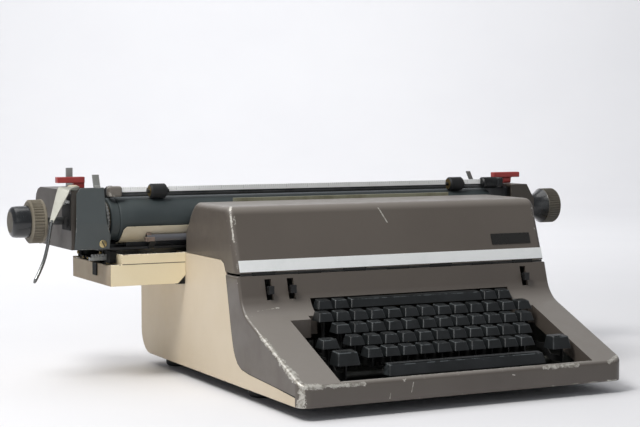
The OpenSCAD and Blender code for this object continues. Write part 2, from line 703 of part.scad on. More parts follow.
// Carriage bed with its keel between the rail's ribs, bearing plates, bail pins and front bar
bar_y = print_y + 0.8;
bar_z = platen_z - 19;
bar_r = 3.5;
bar_half = 197;
bed_top = bed_z + bed_t;
bearing_top = platen_z + 29;
bearing_outline = [
  [bed_y[0], bed_z], [bed_y[0], platen_z + 23], [platen_y - 5, bearing_top], [platen_y + 40, bearing_top],
  [bed_y[1], platen_z - 10], [bed_y[1], bed_z]];
feed_shaft_r = 2;
bail_pin_r = 2.5;
bail_eye_r = 5.5;
bail_arm_x = platen_l / 2 + 3;
module carriage_bed() color("#3b3d3d") on_carriage() {
  box([-bearing_x, bed_y[0], bed_z], [bearing_x, bed_y[1], bed_top]);
  box([-200, rail_y[0] + rib_t + slip, rail_top - 11], [200, rail_y[1] - rib_t - slip, bed_top]);
  both_sides() {
    difference() {
      across(bearing_x, bearing_x + bearing_t) polygon(bearing_outline);
      rod_x(bearing_x - 1, bearing_x + bearing_t + 1, platen_y, platen_z, shaft_r + run_gap);
      rod_x(bearing_x - 1, bearing_x + bearing_t + 1, feed_y, feed_z, feed_shaft_r + run_gap);
    }
    rod_x(bail_arm_x - 1, bearing_x + 1, bail_pivot.x, bail_pivot.y, bail_pin_r);
    across(bar_half - 10, bar_half - 4) polygon([
      [bar_y - 2, bar_z - 2], [bar_y + 2, bar_z - 2], [bed_y[0] + 3, bed_top],
      [bed_y[0] + 3, bed_z], [bed_y[0], bed_z]]);
  }
  rod_x(-bar_half, bar_half, bar_y, bar_z, bar_r);
}

// End housings are shells closed outwards and open towards the bearing plates
end_wall = 2.5;
end_foot = bed_z + 2;
function end_outline(top, i) = [
  [end_front + i, end_foot + i], [end_front + i, top - i], [end_rear - 18, top - i],
  [end_rear - 9 - 0.5 * i, top - 2.5 - i], [end_rear - 3 - 0.8 * i, top - 8 - 0.8 * i],
  [end_rear - i, top - 17], [end_rear - i, end_foot + i]];
end_inner = bearing_x + bearing_t;
shaft_hole_r = shaft_r + 2;
module left_end_housing() color("#5a5148") on_carriage() {
  difference() {
    across(-left_outer, -end_inner) polygon(end_outline(left_top, 0));
    across(-left_outer + end_wall, -end_inner + 1) polygon(end_outline(left_top, end_wall));
    rod_x(-left_outer - 1, -end_inner, platen_y, platen_z, shaft_hole_r);
  }
  rod_z(left_top - 1, left_top + 5, lever_hub.x, lever_hub.y, 2.5);
}
function right_shoulder(i) = [
  [end_inner - 2, end_foot], [right_outer - i, end_foot],
  [right_outer - i, right_top - right_slant.y - 0.5 * i], [right_outer - right_slant.x - 1.1 * i, right_top],
  [end_inner - 2, right_top]];
module right_shell(i) intersection() {
  across(end_inner - min(i, 1), right_outer) polygon(end_outline(right_top, i));
  facing(end_front - 1, end_rear + 1) polygon(right_shoulder(i));
}
module right_end_housing() color("#4f4a44") on_carriage() difference() {
  right_shell(0);
  right_shell(end_wall);
  rod_x(end_inner, right_outer + 1, platen_y, platen_z, shaft_hole_r);
}
module line_space_cover() color("#474c4d") on_carriage() facing(end_front - 2.5, end_front) polygon([
  [-275, end_foot], [-273.7, left_top - 3], [-268.5, left_top + 3], [-243.5, left_top + 3],
  [-242.5, platen_z],
  [-238, platen_z - 15], [-238, end_foot]]);

deflector_r = platen_r + 1.8;
deflector_t = 1;
deflector_half = 223;
deflector_edge = 16;
module paper_deflector() color("#cfc4a6") on_carriage() {
  far = 3 * deflector_r;
  intersection() {
    difference() {
      rod_x(-deflector_half, deflector_half, platen_y, platen_z, deflector_r + deflector_t);
      rod_x(-deflector_half - 1, deflector_half + 1, platen_y, platen_z, deflector_r);
    }
    across(-deflector_half, deflector_half) polygon([
      [platen_y, platen_z], [platen_y - far * cos(deflector_edge), platen_z - far * sin(deflector_edge)],
      [platen_y - far, platen_z - far], [platen_y, platen_z - far]]);
  }
  foot_y = platen_y - 9;
  box([-deflector_half + 8, foot_y - 1, bed_top],
      [deflector_half - 8, foot_y + 1, platen_z - sqrt(pow(deflector_r + 0.5, 2) - 81)]);
}
table_half = 220;
table_foot = platen_y + 24;
table_top = [platen_y + 51, platen_z + 29];
module paper_table() color("#3d4040") on_carriage()
  across(-table_half, table_half) polygon([
    [table_foot, bed_top], [table_foot + 2.5, bed_top], table_top, [table_top.x - 2.5, table_top.y]]);

module platen() color("#2b2f30") on_carriage() difference() {
  rod_x(-platen_l / 2, platen_l / 2, platen_y, platen_z, platen_r);
  rod_x(-platen_l / 2 - 1, platen_l / 2 + 1, platen_y, platen_z, shaft_r + run_gap);
}
ratchet_r = 19;
ratchet_teeth = 30;
ratchet_x = [-bearing_x + 2, -bearing_x + 8];
module platen_shaft() color("#8a8b88") on_carriage() {
  rod_x(-knob_end + 8, right_knob_end - 8, platen_y, platen_z, shaft_r);
  translate([0, platen_y, platen_z]) across(ratchet_x[0], ratchet_x[1]) polygon([
    for (i = [0:2 * ratchet_teeth - 1]) let (a = 180 * i / ratchet_teeth, r = ratchet_r - 1.5 * (i % 2))
      [r * cos(a), r * sin(a)]]);
}
knob_ring_x = [knob_end - 33, knob_end - 18];
knob_cap_r = knob_r - 6;
knob_ridges = 40;
module knob_grooves(x0, x1, r) for (i = [0:knob_ridges - 1])
  translate([0, platen_y, platen_z]) rotate([i * 360 / knob_ridges, 0, 0])
    box([x0, -0.7, r - 0.8], [x1, 0.7, r + 1]);
module left_knob() color("#141516") on_carriage() mirror([1, 0, 0]) difference() {
  union() {
    rod_x(knob_ring_x[0], knob_ring_x[1], platen_y, platen_z, knob_r);
    translate([knob_ring_x[1], platen_y, platen_z]) rotate([0, 90, 0]) rotate_extrude()
      polygon([[0, 0], [knob_cap_r, 0], [knob_cap_r, 12], [knob_cap_r - 2, 16],
               [knob_cap_r - 6, 18], [0, 18]]);
  }
  rod_x(knob_ring_x[0] - 1, knob_end - 8 + slip, platen_y, platen_z, shaft_r + run_gap);
  knob_grooves(knob_ring_x[0] - 1, knob_ring_x[1] - 3, knob_r);
}
neck_x = [right_outer + 1, right_knob_end - 19];
rim_r = knob_r - 2;
module right_knob() color("#1b1c1c") on_carriage() difference() {
  union() {
    translate([neck_x[0], platen_y, platen_z]) rotate([0, 90, 0]) rotate_extrude()
      polygon([[0, 0], [rim_r - 3, 0], [rim_r - 6, 8], [rim_r - 7, 15], [rim_r - 4, neck_x[1] - neck_x[0]],
               [0, neck_x[1] - neck_x[0]]]);
    rod_x(neck_x[1], right_knob_end - 1, platen_y, platen_z, rim_r);
  }
  rod_x(neck_x[0] - 1, right_knob_end - 8 + slip, platen_y, platen_z, shaft_r + run_gap);
  knob_grooves(neck_x[1] + 2, right_knob_end, rim_r);
}
module feed_roller() color("#37383a") on_carriage() {
  rod_x(-platen_l / 2 + 10, platen_l / 2 - 10, feed_y, feed_z, feed_r);
  rod_x(-bearing_x - bearing_t, bearing_x + bearing_t, feed_y, feed_z, feed_shaft_r);
}

// Paper bail: rod, scale strip broken at the rollers, end blocks and arms on the bail pins
bail_roller_w = 18;
strip_end = platen_l / 2 - 3;
strip_gap = bail_roller_w / 2 + 3;
strip_spans = [
  [-strip_end, -bail_roller_x - strip_gap], [-bail_roller_x + strip_gap, bail_roller_x - strip_gap],
  [bail_roller_x + strip_gap, strip_end]];
arm_t = 3;
block_half = 7;
block_y = [bail_y - 7, bail_y + 3];
bail_strip_z = [bail_z - 0.8, bail_z + 4.5];
tab_y = [bail_pivot.x - 2, bail_pivot.x];
tab_z = [bail_pivot.y + bail_eye_r - 2, bail_z + 1, bail_z + 12];
tab_half = 2.5;
tab_lean = 5;
module paper_bail() color("#c9ccc9") on_carriage() {
  rod_x(-bail_arm_x - arm_t, bail_arm_x + arm_t, bail_y, bail_z, bail_rod_r);
  for (s = strip_spans) box([s[0], bail_y - 0.5, bail_strip_z[0]], [s[1], bail_y + 0.5, bail_strip_z[1]]);
  both_sides() box([bail_arm_x - block_half, block_y[0], bail_z - 5],
                   [bail_arm_x + block_half, block_y[1], bail_z + 5.5]);
  facing(tab_y[0], tab_y[1]) polygon([
    [bail_arm_x - tab_half, tab_z[0]], [bail_arm_x + tab_half, tab_z[0]], [bail_arm_x + tab_half, tab_z[1]],
    [bail_arm_x + tab_half - tab_lean, tab_z[2]], [bail_arm_x - tab_half - tab_lean, tab_z[2]],
    [bail_arm_x - tab_half, tab_z[1]]]);
  both_sides() difference() {
    union() {
      across(bail_arm_x, bail_arm_x + arm_t) polygon([
        [bail_y - 5, bail_z - 4], [bail_y - 5, bail_z + 5], [bail_y + 6, bail_z + 6],
        [bail_pivot.x, bail_pivot.y + bail_eye_r], [bail_pivot.x, bail_pivot.y - bail_eye_r]]);
      rod_x(bail_arm_x, bail_arm_x + arm_t, bail_pivot.x, bail_pivot.y, bail_eye_r);
    }
    rod_x(bail_arm_x - 1, bail_arm_x + arm_t + 1, bail_pivot.x, bail_pivot.y, bail_pin_r + run_gap);
  }
}
module bail_rollers() color("#17191a") on_carriage() both_sides() difference() {
  rod_x(bail_roller_x - bail_roller_w / 2, bail_roller_x + bail_roller_w / 2, bail_y, bail_z, bail_roller_r);
  rod_x(bail_roller_x - bail_roller_w, bail_roller_x + bail_roller_w, bail_y, bail_z, bail_rod_r + run_gap);
}

// Return lever: hub on its pin, tapered blade, then a curved finger rod
finger = [for (p = [[-305, -38, 168], [-308, -41, 150], [-314, -45, 130], [-324, -50, 110]])
  p + [0, platen_y, 0]];
finger_r = 2.4;
blade_z = left_top + slip;
module lever_knee() translate([lever_hub.x - 12, lever_hub.y - 8, blade_z + 1])
  cylinder(r = 4.2, h = 3, $fn = 32);
module finger_ball(i) translate(finger[i]) sphere(finger_r, $fn = 16);
module return_lever() color("#c4c7c7") on_carriage() difference() {
  union() {
    hull() {
      rod_z(blade_z, blade_z + 4, lever_hub.x, lever_hub.y, 6.5, $fn = 32);
      lever_knee();
    }
    hull() {
      lever_knee();
      finger_ball(0);
    }
    for (i = [0:2]) hull() {
      finger_ball(i);
      finger_ball(i + 1);
    }
  }
  rod_z(blade_z - 1, blade_z + 6, lever_hub.x, lever_hub.y, 2.5 + run_gap);
}

// Small levers that rock on a round hub just above the end housings
release_y = platen_y;
module release_lever(x, reach, foot, top) color("#a23a36") on_carriage() {
  hub_z = top + slip + hub_r;
  rod_x(x + foot[0], x + foot[1], release_y, hub_z, hub_r);
  box([x + foot[0], release_y - hub_r, hub_z], [x + foot[1], release_y + hub_r, hub_z + 5]);
  box([x + reach[0], release_y - 4, hub_z + 4], [x + reach[1], release_y + 4, hub_z + 10]);
}
release_left_x = -263.5;
release_right_x = 256;
module carriage_release_left() release_lever(release_left_x, [-22, 7], [-4.5, 7], left_top);
module carriage_release_right() release_lever(release_right_x, [-19, 16], [-5, 5], right_top);
module tab_lever(x, y, seat, top, lean) color("#b6b9b9") on_carriage() {
  hub_z = seat + slip + hub_r;
  rod_x(x - 3, x + 3, y, hub_z, hub_r);
  across(x - 3.5, x + 3.5) polygon([
    [y - 1, hub_z], [y + 1, hub_z], [y + 1 + lean, top], [y - 1 + lean, top]]);
}
module paper_release_lever() tab_lever(-266, platen_y + 18, left_top, 220, 0);
module line_space_selector() tab_lever(-bearing_x, platen_y - 2, bearing_top, 213, 5);

bottom_pan();
rubber_feet();
left_casing();
right_casing();
rear_casing();
rail_wings();
front_housing();
machine_frame();
carriage_rail();
fulcrum_shaft();
key_comb();
line_scale();
cover_hinge_rod();
margin_bell();
mainspring_drum();
top_cover();
trim_strip();
name_plate();
front_letter_keys();
front_letter_levers();
home_keys();
home_levers();
upper_letter_keys();
upper_letter_levers();
number_keys();
number_levers();
centre_key();
centre_typebar();
function_key_set();
tab_bar();
space_bar();
shift_keys();
shift_levers();
shift_lock_key();
selector_left();
selector_middle();
selector_right();
type_segment();
typebars();
ribbon_vibrator();
ribbon_spool_left();
ribbon_spool_right();
carriage_bed();
left_end_housing();
right_end_housing();
line_space_cover();
paper_deflector();
paper_table();
platen();
platen_shaft();
left_knob();
right_knob();
feed_roller();
paper_bail();
bail_rollers();
return_lever();
carriage_release_left();
carriage_release_right();
paper_release_lever();
line_space_selector();
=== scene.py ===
import bmesh
import bpy
import json
import math
from mathutils import Euler, Matrix, Vector

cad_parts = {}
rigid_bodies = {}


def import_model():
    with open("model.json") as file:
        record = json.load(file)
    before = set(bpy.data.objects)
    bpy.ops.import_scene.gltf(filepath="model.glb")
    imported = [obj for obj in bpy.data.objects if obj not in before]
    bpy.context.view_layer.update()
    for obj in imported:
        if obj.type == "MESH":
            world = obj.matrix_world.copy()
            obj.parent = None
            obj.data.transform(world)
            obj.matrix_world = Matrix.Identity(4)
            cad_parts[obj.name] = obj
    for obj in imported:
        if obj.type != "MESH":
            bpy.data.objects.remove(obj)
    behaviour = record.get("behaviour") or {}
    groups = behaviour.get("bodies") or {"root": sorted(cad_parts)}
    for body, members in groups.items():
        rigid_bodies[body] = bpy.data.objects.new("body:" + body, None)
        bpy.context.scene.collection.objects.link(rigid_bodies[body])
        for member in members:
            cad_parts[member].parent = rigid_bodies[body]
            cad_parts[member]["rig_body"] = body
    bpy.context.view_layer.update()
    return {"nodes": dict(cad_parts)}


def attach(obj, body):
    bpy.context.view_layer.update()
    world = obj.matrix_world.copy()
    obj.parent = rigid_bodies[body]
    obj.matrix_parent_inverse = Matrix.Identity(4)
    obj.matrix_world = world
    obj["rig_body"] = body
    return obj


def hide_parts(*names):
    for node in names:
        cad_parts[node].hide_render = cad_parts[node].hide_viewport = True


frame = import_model()
print("frame loaded:", len(frame["nodes"]), "nodes")

mm = 0.001
carriageOff = -22  # the carriage stands left of the body's middle
outlineMid = -6.75  # the middle of the whole outline, from the carriage's middle
originDepth = 202  # the front lip lies this far in front of the origin
bodyHalf = 178.5
bothSides = (-1, 1)  # left, then right


def at(x, y, z):  # body millimetres, from the middle, the front lip and the table
    return Vector(((x - carriageOff - outlineMid) * mm, (y - originDepth) * mm, z * mm))


def onCarriage(x, y, z):  # carriage millimetres, from the middle of the platen
    return Vector(((x - outlineMid) * mm, (y - originDepth) * mm, z * mm))


def addObject(name, data):
    made = bpy.data.objects.new(name, data)
    bpy.context.collection.objects.link(made)
    return made


# camera, as the photograph sees the machine
view = {"place": (-811.7, -1299.8, 280.7), "turn": 26.67, "dip": 3.673, "lens": 91.92, "sensor": 36,
        "reach": 20}


def makeCamera():
    data = bpy.data.cameras.new("photoCamera")
    data.lens = view["lens"]
    data.sensor_width = view["sensor"]
    data.clip_end = view["reach"]
    camera = addObject("photoCamera", data)
    camera.location = at(*view["place"])
    camera.rotation_euler = Euler((math.radians(90 - view["dip"]), 0, -math.radians(view["turn"])))
    bpy.context.scene.camera = camera


makeCamera()
print("camera set")

# shader nodes
coatRough = 0.15


def srgb(code):
    parts = [int(code[i:i + 2], 16) / 255 for i in (1, 3, 5)]
    return tuple(p / 12.92 if p <= 0.04045 else ((p + 0.055) / 1.055) ** 2.4 for p in parts) + (1.0,)


def addNode(tree, kind, settings=None, inputs=None):  # inputs are sockets, colour codes or plain values
    node = tree.nodes.new(kind)
    for key, value in (settings or {}).items():
        setattr(node, key, value)
    for key, value in (inputs or {}).items():
        if isinstance(value, bpy.types.NodeSocket):
            tree.links.new(value, node.inputs[key])
        else:
            node.inputs[key].default_value = srgb(value) if isinstance(value, str) else value
    return node


def newMaterial(name, rough, metallic=0.0, coat=0.0):
    material = bpy.data.materials.new(name)
    material.use_nodes = True
    tree = material.node_tree
    shader = tree.nodes["Principled BSDF"]
    shader.inputs["Metallic"].default_value = metallic
    shader.inputs["Roughness"].default_value = rough
    shader.inputs["Coat Weight"].default_value = coat
    shader.inputs["Coat Roughness"].default_value = coatRough
    return material, tree, shader, addNode(tree, "ShaderNodeTexCoord").outputs["Object"]


def feed(tree, shader, socket, value):
    tree.links.new(value, shader.inputs[socket])


def noise(tree, coord, scale, detail=3.0, rough=0.55):
    return addNode(tree, "ShaderNodeTexNoise", None,
                   {"Vector": coord, "Scale": scale, "Detail": detail, "Roughness": rough}).outputs["Fac"]


def ramp(tree, value, low, high):  # 0 below low, 1 above high
    return addNode(tree, "ShaderNodeMapRange", {"interpolation_type": "SMOOTHSTEP"},
                   {"Value": value, "From Min": low, "From Max": high}).outputs["Result"]


def sums(tree, kind, first, second):
    return addNode(tree, "ShaderNodeMath", {"operation": kind}, {0: first, 1: second}).outputs[0]


def blendColour(tree, factor, first, second):
    return addNode(tree, "ShaderNodeMix", {"data_type": "RGBA"}, {0: factor, 6: first, 7: second}).outputs[2]


def blendValue(tree, factor, first, second):
    return addNode(tree, "ShaderNodeMix", {"data_type": "FLOAT"}, {0: factor, 2: first, 3: second}).outputs[0]


def addBump(tree, shader, height, strength, depth):
    bump = addNode(tree, "ShaderNodeBump", None, {"Height": height, "Strength": strength, "Distance": depth})
    feed(tree, shader, "Normal", bump.outputs["Normal"])


def lineDistance(tree, coord, start, end):  # metres from a straight line between two points
    def vectors(kind, inputs):
        return addNode(tree, "ShaderNodeVectorMath", {"operation": kind}, inputs)
    span = end - start
    away = vectors("SUBTRACT", {0: coord, 1: start}).outputs["Vector"]
    along = vectors("DOT_PRODUCT", {0: away, 1: span / span.length_squared}).outputs["Value"]
    share = addNode(tree, "ShaderNodeMath", {"operation": "ADD", "use_clamp": True}, {0: along, 1: 0.0})
    foot = vectors("SCALE", {0: span, "Scale": share.outputs[0]}).outputs["Vector"]
    return vectors("DISTANCE", {0: away, 1: foot}).outputs["Value"]


# paint lost along lines: each line is (start, end, reach in mm, share of its length that is bare)
wornLook = {"patches": (75, 8, 0.78), "patchPull": 2.2, "grainPull": 0.8, "bare": (1.2, 1.3),
            "ends": (0.02, 0.12)}


def wornLines(tree, coord, lines, grain):
    total = None
    patches = noise(tree, coord, *wornLook["patches"])
    for start, end, reach, share in lines:
        gap = lineDistance(tree, coord, at(*start), at(*end))
        span = {"From Min": 0.0, "From Max": reach * mm, "To Min": 1.0, "To Max": 0.0}
        near = addNode(tree, "ShaderNodeMapRange", None, {"Value": gap, **span}).outputs["Result"]
        mixed = near
        for layer, pull in ((patches, wornLook["patchPull"]), (grain, wornLook["grainPull"])):
            mixed = sums(tree, "ADD", mixed, sums(tree, "MULTIPLY", sums(tree, "SUBTRACT", layer, 0.5), pull))
        low, high = [edge - share for edge in wornLook["bare"]]
        inside = sums(tree, "MULTIPLY", ramp(tree, mixed, low, high), ramp(tree, near, *wornLook["ends"]))
        total = inside if total is None else sums(tree, "MAXIMUM", total, inside)
    return total


# meshes
finishes = {}
sameSpot = 1e-5  # metres between points that count as one
flatTurn = 0.6  # degrees between faces that count as one plane
tinyWeight = 1e-12


def weighedNormals(bm, limit):  # large flat faces stay flat beside their rounded edges
    bm.normal_update()
    bm.faces.index_update()
    sizes = [face.calc_area() for face in bm.faces]
    normals = []
    for face in bm.faces:
        for vert in face.verts:
            total = face.normal * tinyWeight
            for other in vert.link_faces:
                if other.normal.dot(face.normal) > limit:
                    total = total + other.normal * sizes[other.index]
            normals.append(total.normalized())
    return normals


def newPiece(name, bm, body, looks, stands=(), smooth=38):  # looks: one finish or a list
    for face in bm.faces:
        face.smooth = True
    for edge in bm.edges:
        edge.smooth = len(edge.link_faces) == 2 and edge.calc_face_angle(0) < math.radians(smooth)
    normals = weighedNormals(bm, math.cos(math.radians(smooth)))
    mesh = bpy.data.meshes.new(name)
    bm.to_mesh(mesh)
    bm.free()
    mesh.normals_split_custom_set(normals)
    piece = addObject(name, mesh)
    for look in [looks] if isinstance(looks, str) else looks:
        mesh.materials.append(finishes[look])
    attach(piece, body)
    if stands:
        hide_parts(*stands)
    return piece


def markFaces(faces, wanted, index=1):  # gives the faces that wanted(middle) picks another of the finishes
    for face in faces:
        if wanted(face.calc_center_median() if isinstance(face, bmesh.types.BMFace) else face.center):
            face.material_index = index


def cadMesh(node):  # a working copy of a CAD node with its flat faces joined
    bm = bmesh.new()
    bm.from_mesh(frame["nodes"][node].data)
    bmesh.ops.remove_doubles(bm, verts=bm.verts, dist=sameSpot)
    bmesh.ops.dissolve_limit(bm, angle_limit=math.radians(flatTurn), verts=bm.verts, edges=bm.edges)
    bm.faces.layers.float.new("edgeWear")
    return bm


def roundEdges(bm, width, segments=2, angle=30, pick=None, clamp=True):
    edges = [e for e in bm.edges if len(e.link_faces) == 2 and e.calc_face_angle(0) > math.radians(angle)
             and (pick is None or pick(e))]
    made = bmesh.ops.bevel(bm, geom=edges, offset=width * mm, offset_type="OFFSET", segments=segments,
                           profile=0.5, affect="EDGES", clamp_overlap=clamp, material=-1)
    wear = bm.faces.layers.float.get("edgeWear")
    for face in made["faces"]:
        if face.is_valid:
            face[wear] = 1.0


def softened(node, look, finish):  # the CAD shape with rounded edges
    bm = cadMesh(node)
    roundEdges(bm, look["round"], look.get("segments", 2), look.get("angle", 30))
    name = look.get("name", node + "Dressed")
    return newPiece(name, bm, frame["nodes"][node]["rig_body"], finish, [node])


def joinMesh(bm, other):  # adds one working mesh to another
    mesh = bpy.data.meshes.new("joining")
    other.to_mesh(mesh)
    other.free()
    bm.from_mesh(mesh)
    bpy.data.meshes.remove(mesh)


def blankMesh():
    bm = bmesh.new()
    bm.faces.layers.float.new("edgeWear")
    return bm


def ringStack(bm, rings, wearRings=()):  # skins rings of as many points each, and closes both ends
    wear = bm.faces.layers.float.get("edgeWear")
    rows = [[bm.verts.new(p) for p in ring] for ring in rings]
    count = len(rows[0])
    for r in range(len(rows) - 1):
        for i in range(count):
            j = (i + 1) % count
            face = bm.faces.new((rows[r][i], rows[r][j], rows[r + 1][j], rows[r + 1][i]))
            if r in wearRings:
                face[wear] = 1.0
    bm.faces.new(rows[0][::-1])
    bm.faces.new(rows[-1])


def skin(rings):
    bm = blankMesh()
    ringStack(bm, rings)
    bmesh.ops.recalc_face_normals(bm, faces=bm.faces)
    return bm


def slab(rings, width, segments, angle):  # a skin with rounded edges
    bm = skin(rings)
    roundEdges(bm, width, segments, angle)
    return bm


def cutAway(bm, spot, normal):  # takes off what lies beyond a plane
    whole = list(bm.verts) + list(bm.edges) + list(bm.faces)
    made = bmesh.ops.bisect_plane(bm, geom=whole, plane_co=spot, plane_no=normal, clear_outer=True)
    return [g for g in made["geom_cut"] if isinstance(g, bmesh.types.BMEdge)]


def roundedRect(width, depth, radius, steps):  # corner points of a rounded rectangle about the origin
    points = []
    for cx, cy, start in ((1, 1, 0), (-1, 1, 90), (-1, -1, 180), (1, -1, 270)):
        for i in range(steps + 1):
            a = math.radians(start + 90 * i / steps)
            points.append((cx * (width / 2 - radius) + radius * math.cos(a),
                           cy * (depth / 2 - radius) + radius * math.sin(a)))
    return points


def boxMesh(low, high, width, segments=2):  # a block with rounded edges, corners in metres
    bm = blankMesh()
    made = bmesh.ops.create_cube(bm, size=1)
    for v in made["verts"]:
        v.co = Vector([low[i] if v.co[i] < 0 else high[i] for i in range(3)])
    roundEdges(bm, width, segments)
    return bm


def carriageBox(corners, width, segments=2):
    low, high = corners
    return boxMesh(onCarriage(*low), onCarriage(*high), width, segments)


def lathe(profile, centre, count, axis="X", ripple=None):
    # turns (along, radius) points about an axis; ripple(i, along) scales the radius of ring point i
    rings = []
    for along, radius in profile:
        ring = []
        for i in range(count):
            a = 2 * math.pi * i / count
            r = radius * (ripple(i, along) if ripple else 1.0)
            side, up = r * math.cos(a) * mm, r * math.sin(a) * mm
            offsets = {"X": (along * mm, side, up), "Y": (up, along * mm, side), "Z": (side, up, along * mm)}
            ring.append(centre + Vector(offsets[axis]))
        rings.append(ring)
    return skin(rings)


def sweep(points, section, turns, scales=None):
    # carries a flat section along a path; the section's own up follows turns, a list of up directions
    rings = []
    for i, p in enumerate(points):
        before, after = points[max(i - 1, 0)], points[min(i + 1, len(points) - 1)]
        along = (after - before).normalized()
        side = along.cross(turns[i]).normalized()
        up = side.cross(along).normalized()
        wide, tall = scales[i] if scales else (1, 1)
        rings.append([p + side * (u * wide * mm) + up * (v * tall * mm) for u, v in section])
    return skin(rings)


def curvePoints(corners, steps):  # a smooth path through the given points
    pts = [corners[0] * 2 - corners[1]] + list(corners) + [corners[-1] * 2 - corners[-2]]
    path = []
    for i in range(1, len(pts) - 2):
        p0, p1, p2, p3 = pts[i - 1:i + 3]
        for s in range(steps):
            t = s / steps
            path.append(0.5 * ((2 * p1) + (p2 - p0) * t + (2 * p0 - 5 * p1 + 4 * p2 - p3) * t ** 2
                               + (3 * p1 - p0 - 3 * p2 + p3) * t ** 3))
    path.append(pts[-2])
    return path


# finishes: three kinds, each with the values that hold where a look says nothing else
edgeLook = {"patches": (85, 5, 0.72), "grainPull": 0.18, "bare": (0.84, 0.9)}
enamelLook = {
    "coat": 0.0, "cloud": 7, "edge": 0.2, "bare": "#c9c7c0", "metal": 0.35, "specks": 0, "lines": [],
    "peel": 650, "bump": 0.12, "grain": (900, 2), "chips": (70, 0.05), "spots": (260, 5, 0.7),
    "smudge": (28, 4, 0.65), "gloss": (-0.05, 0.1), "bareRough": 0.42, "depth": 0.0004,
}
metalLook = {
    "metal": 1.0, "cloud": 25, "edge": 0.3, "brush": (40, 900, 900), "grain": (900, 2), "dull": 0.18,
    "brushed": 0.22, "bump": 0.08, "depth": 0.0002,
}
plasticLook = {
    "coat": 0.0, "cloud": 45, "edge": 0.25, "bare": "#8b8d8a", "specks": 0.05, "peel": 1500, "bump": 0.1,
    "grain": (1100, 2), "dirt": (160, 0.06), "dull": 0.12, "depth": 0.0003,
}


def edgeMask(tree, coord, share, grain):  # bared patches on the rounded edges
    mark = addNode(tree, "ShaderNodeAttribute", {"attribute_name": "edgeWear"}).outputs["Fac"]
    pull = sums(tree, "MULTIPLY", grain, edgeLook["grainPull"])
    patch = sums(tree, "ADD", noise(tree, coord, *edgeLook["patches"]), pull)
    low, high = [edge - share for edge in edgeLook["bare"]]
    return sums(tree, "MULTIPLY", mark, ramp(tree, patch, low, high))


def speckMask(tree, coord, scale, share, size):  # a few small chips
    cells = addNode(tree, "ShaderNodeTexVoronoi", {"feature": "F1"},
                    {"Vector": coord, "Scale": scale, "Randomness": 1.0})
    pick = addNode(tree, "ShaderNodeSeparateColor", None, {"Color": cells.outputs["Color"]}).outputs["Red"]
    dot = sums(tree, "SUBTRACT", 1.0, ramp(tree, cells.outputs["Distance"], size * 0.5, size))
    return sums(tree, "MULTIPLY", dot, ramp(tree, pick, 1 - share, 1 - share + 0.01))


def enamel(name, own):
    look = {**enamelLook, **own}
    rough = look["rough"]
    material, tree, shader, coord = newMaterial(name, rough, coat=look["coat"])
    cloud = noise(tree, coord, look["cloud"], 5, 0.6)
    grain = noise(tree, coord, *look["grain"])
    colour = blendColour(tree, ramp(tree, cloud, 0.3, 0.7), look["colour"], look["shade"])
    # faces that look up are painted lighter: painted light from above, with some dust
    if "dust" in look:  # lighter film where faces look up
        tint, amount = look["dust"]
        normal = addNode(tree, "ShaderNodeNewGeometry").outputs["Normal"]
        up = addNode(tree, "ShaderNodeSeparateXYZ", None, {"Vector": normal}).outputs["Z"]
        colour = blendColour(tree, sums(tree, "MULTIPLY", ramp(tree, up, 0.2, 1.0), amount), colour, tint)
    bare = edgeMask(tree, coord, look["edge"], grain)
    if look["lines"]:
        bare = sums(tree, "MAXIMUM", bare, wornLines(tree, coord, look["lines"], grain))
    if look["specks"]:
        scale, size = look["chips"]
        bare = sums(tree, "MAXIMUM", bare, speckMask(tree, coord, scale, look["specks"], size))
    under = look["bare"]
    if "primer" in look:  # bare metal shows through the worn primer in spots
        spots = ramp(tree, noise(tree, coord, *look["spots"]), 0.45, 0.6)
        under = blendColour(tree, spots, under, look["primer"])
    smudge = ramp(tree, noise(tree, coord, *look["smudge"]), 0.35, 0.75)
    gloss = blendValue(tree, smudge, *[rough + change for change in look["gloss"]])
    feed(tree, shader, "Base Color", blendColour(tree, bare, colour, under))
    feed(tree, shader, "Roughness", blendValue(tree, bare, gloss, look["bareRough"]))
    feed(tree, shader, "Metallic", sums(tree, "MULTIPLY", bare, look["metal"]))
    peel = sums(tree, "MULTIPLY", noise(tree, coord, look["peel"], 3), 0.5)
    addBump(tree, shader, sums(tree, "SUBTRACT", peel, bare), look["bump"], look["depth"])
    return material


def bareMetal(name, own):
    look = {**metalLook, **own}
    rough = look["rough"]
    material, tree, shader, coord = newMaterial(name, rough, metallic=look["metal"])
    stretch = addNode(tree, "ShaderNodeMapping", None, {"Vector": coord, "Scale": look["brush"]})
    lines = noise(tree, stretch.outputs["Vector"], 1.0, 3)
    stain = ramp(tree, noise(tree, coord, look["cloud"], 5, 0.65), 0.42, 0.72)
    colour = blendColour(tree, stain, look["colour"], look["shade"])
    worn = edgeMask(tree, coord, look["edge"], noise(tree, coord, *look["grain"]))
    feed(tree, shader, "Base Color", blendColour(tree, worn, colour, look["colour"]))
    streaks = sums(tree, "MULTIPLY", sums(tree, "SUBTRACT", lines, 0.5), look["brushed"])
    stained = blendValue(tree, stain, rough, rough + look["dull"])
    feed(tree, shader, "Roughness", sums(tree, "ADD", stained, streaks))
    addBump(tree, shader, lines, look["bump"], look["depth"])
    return material


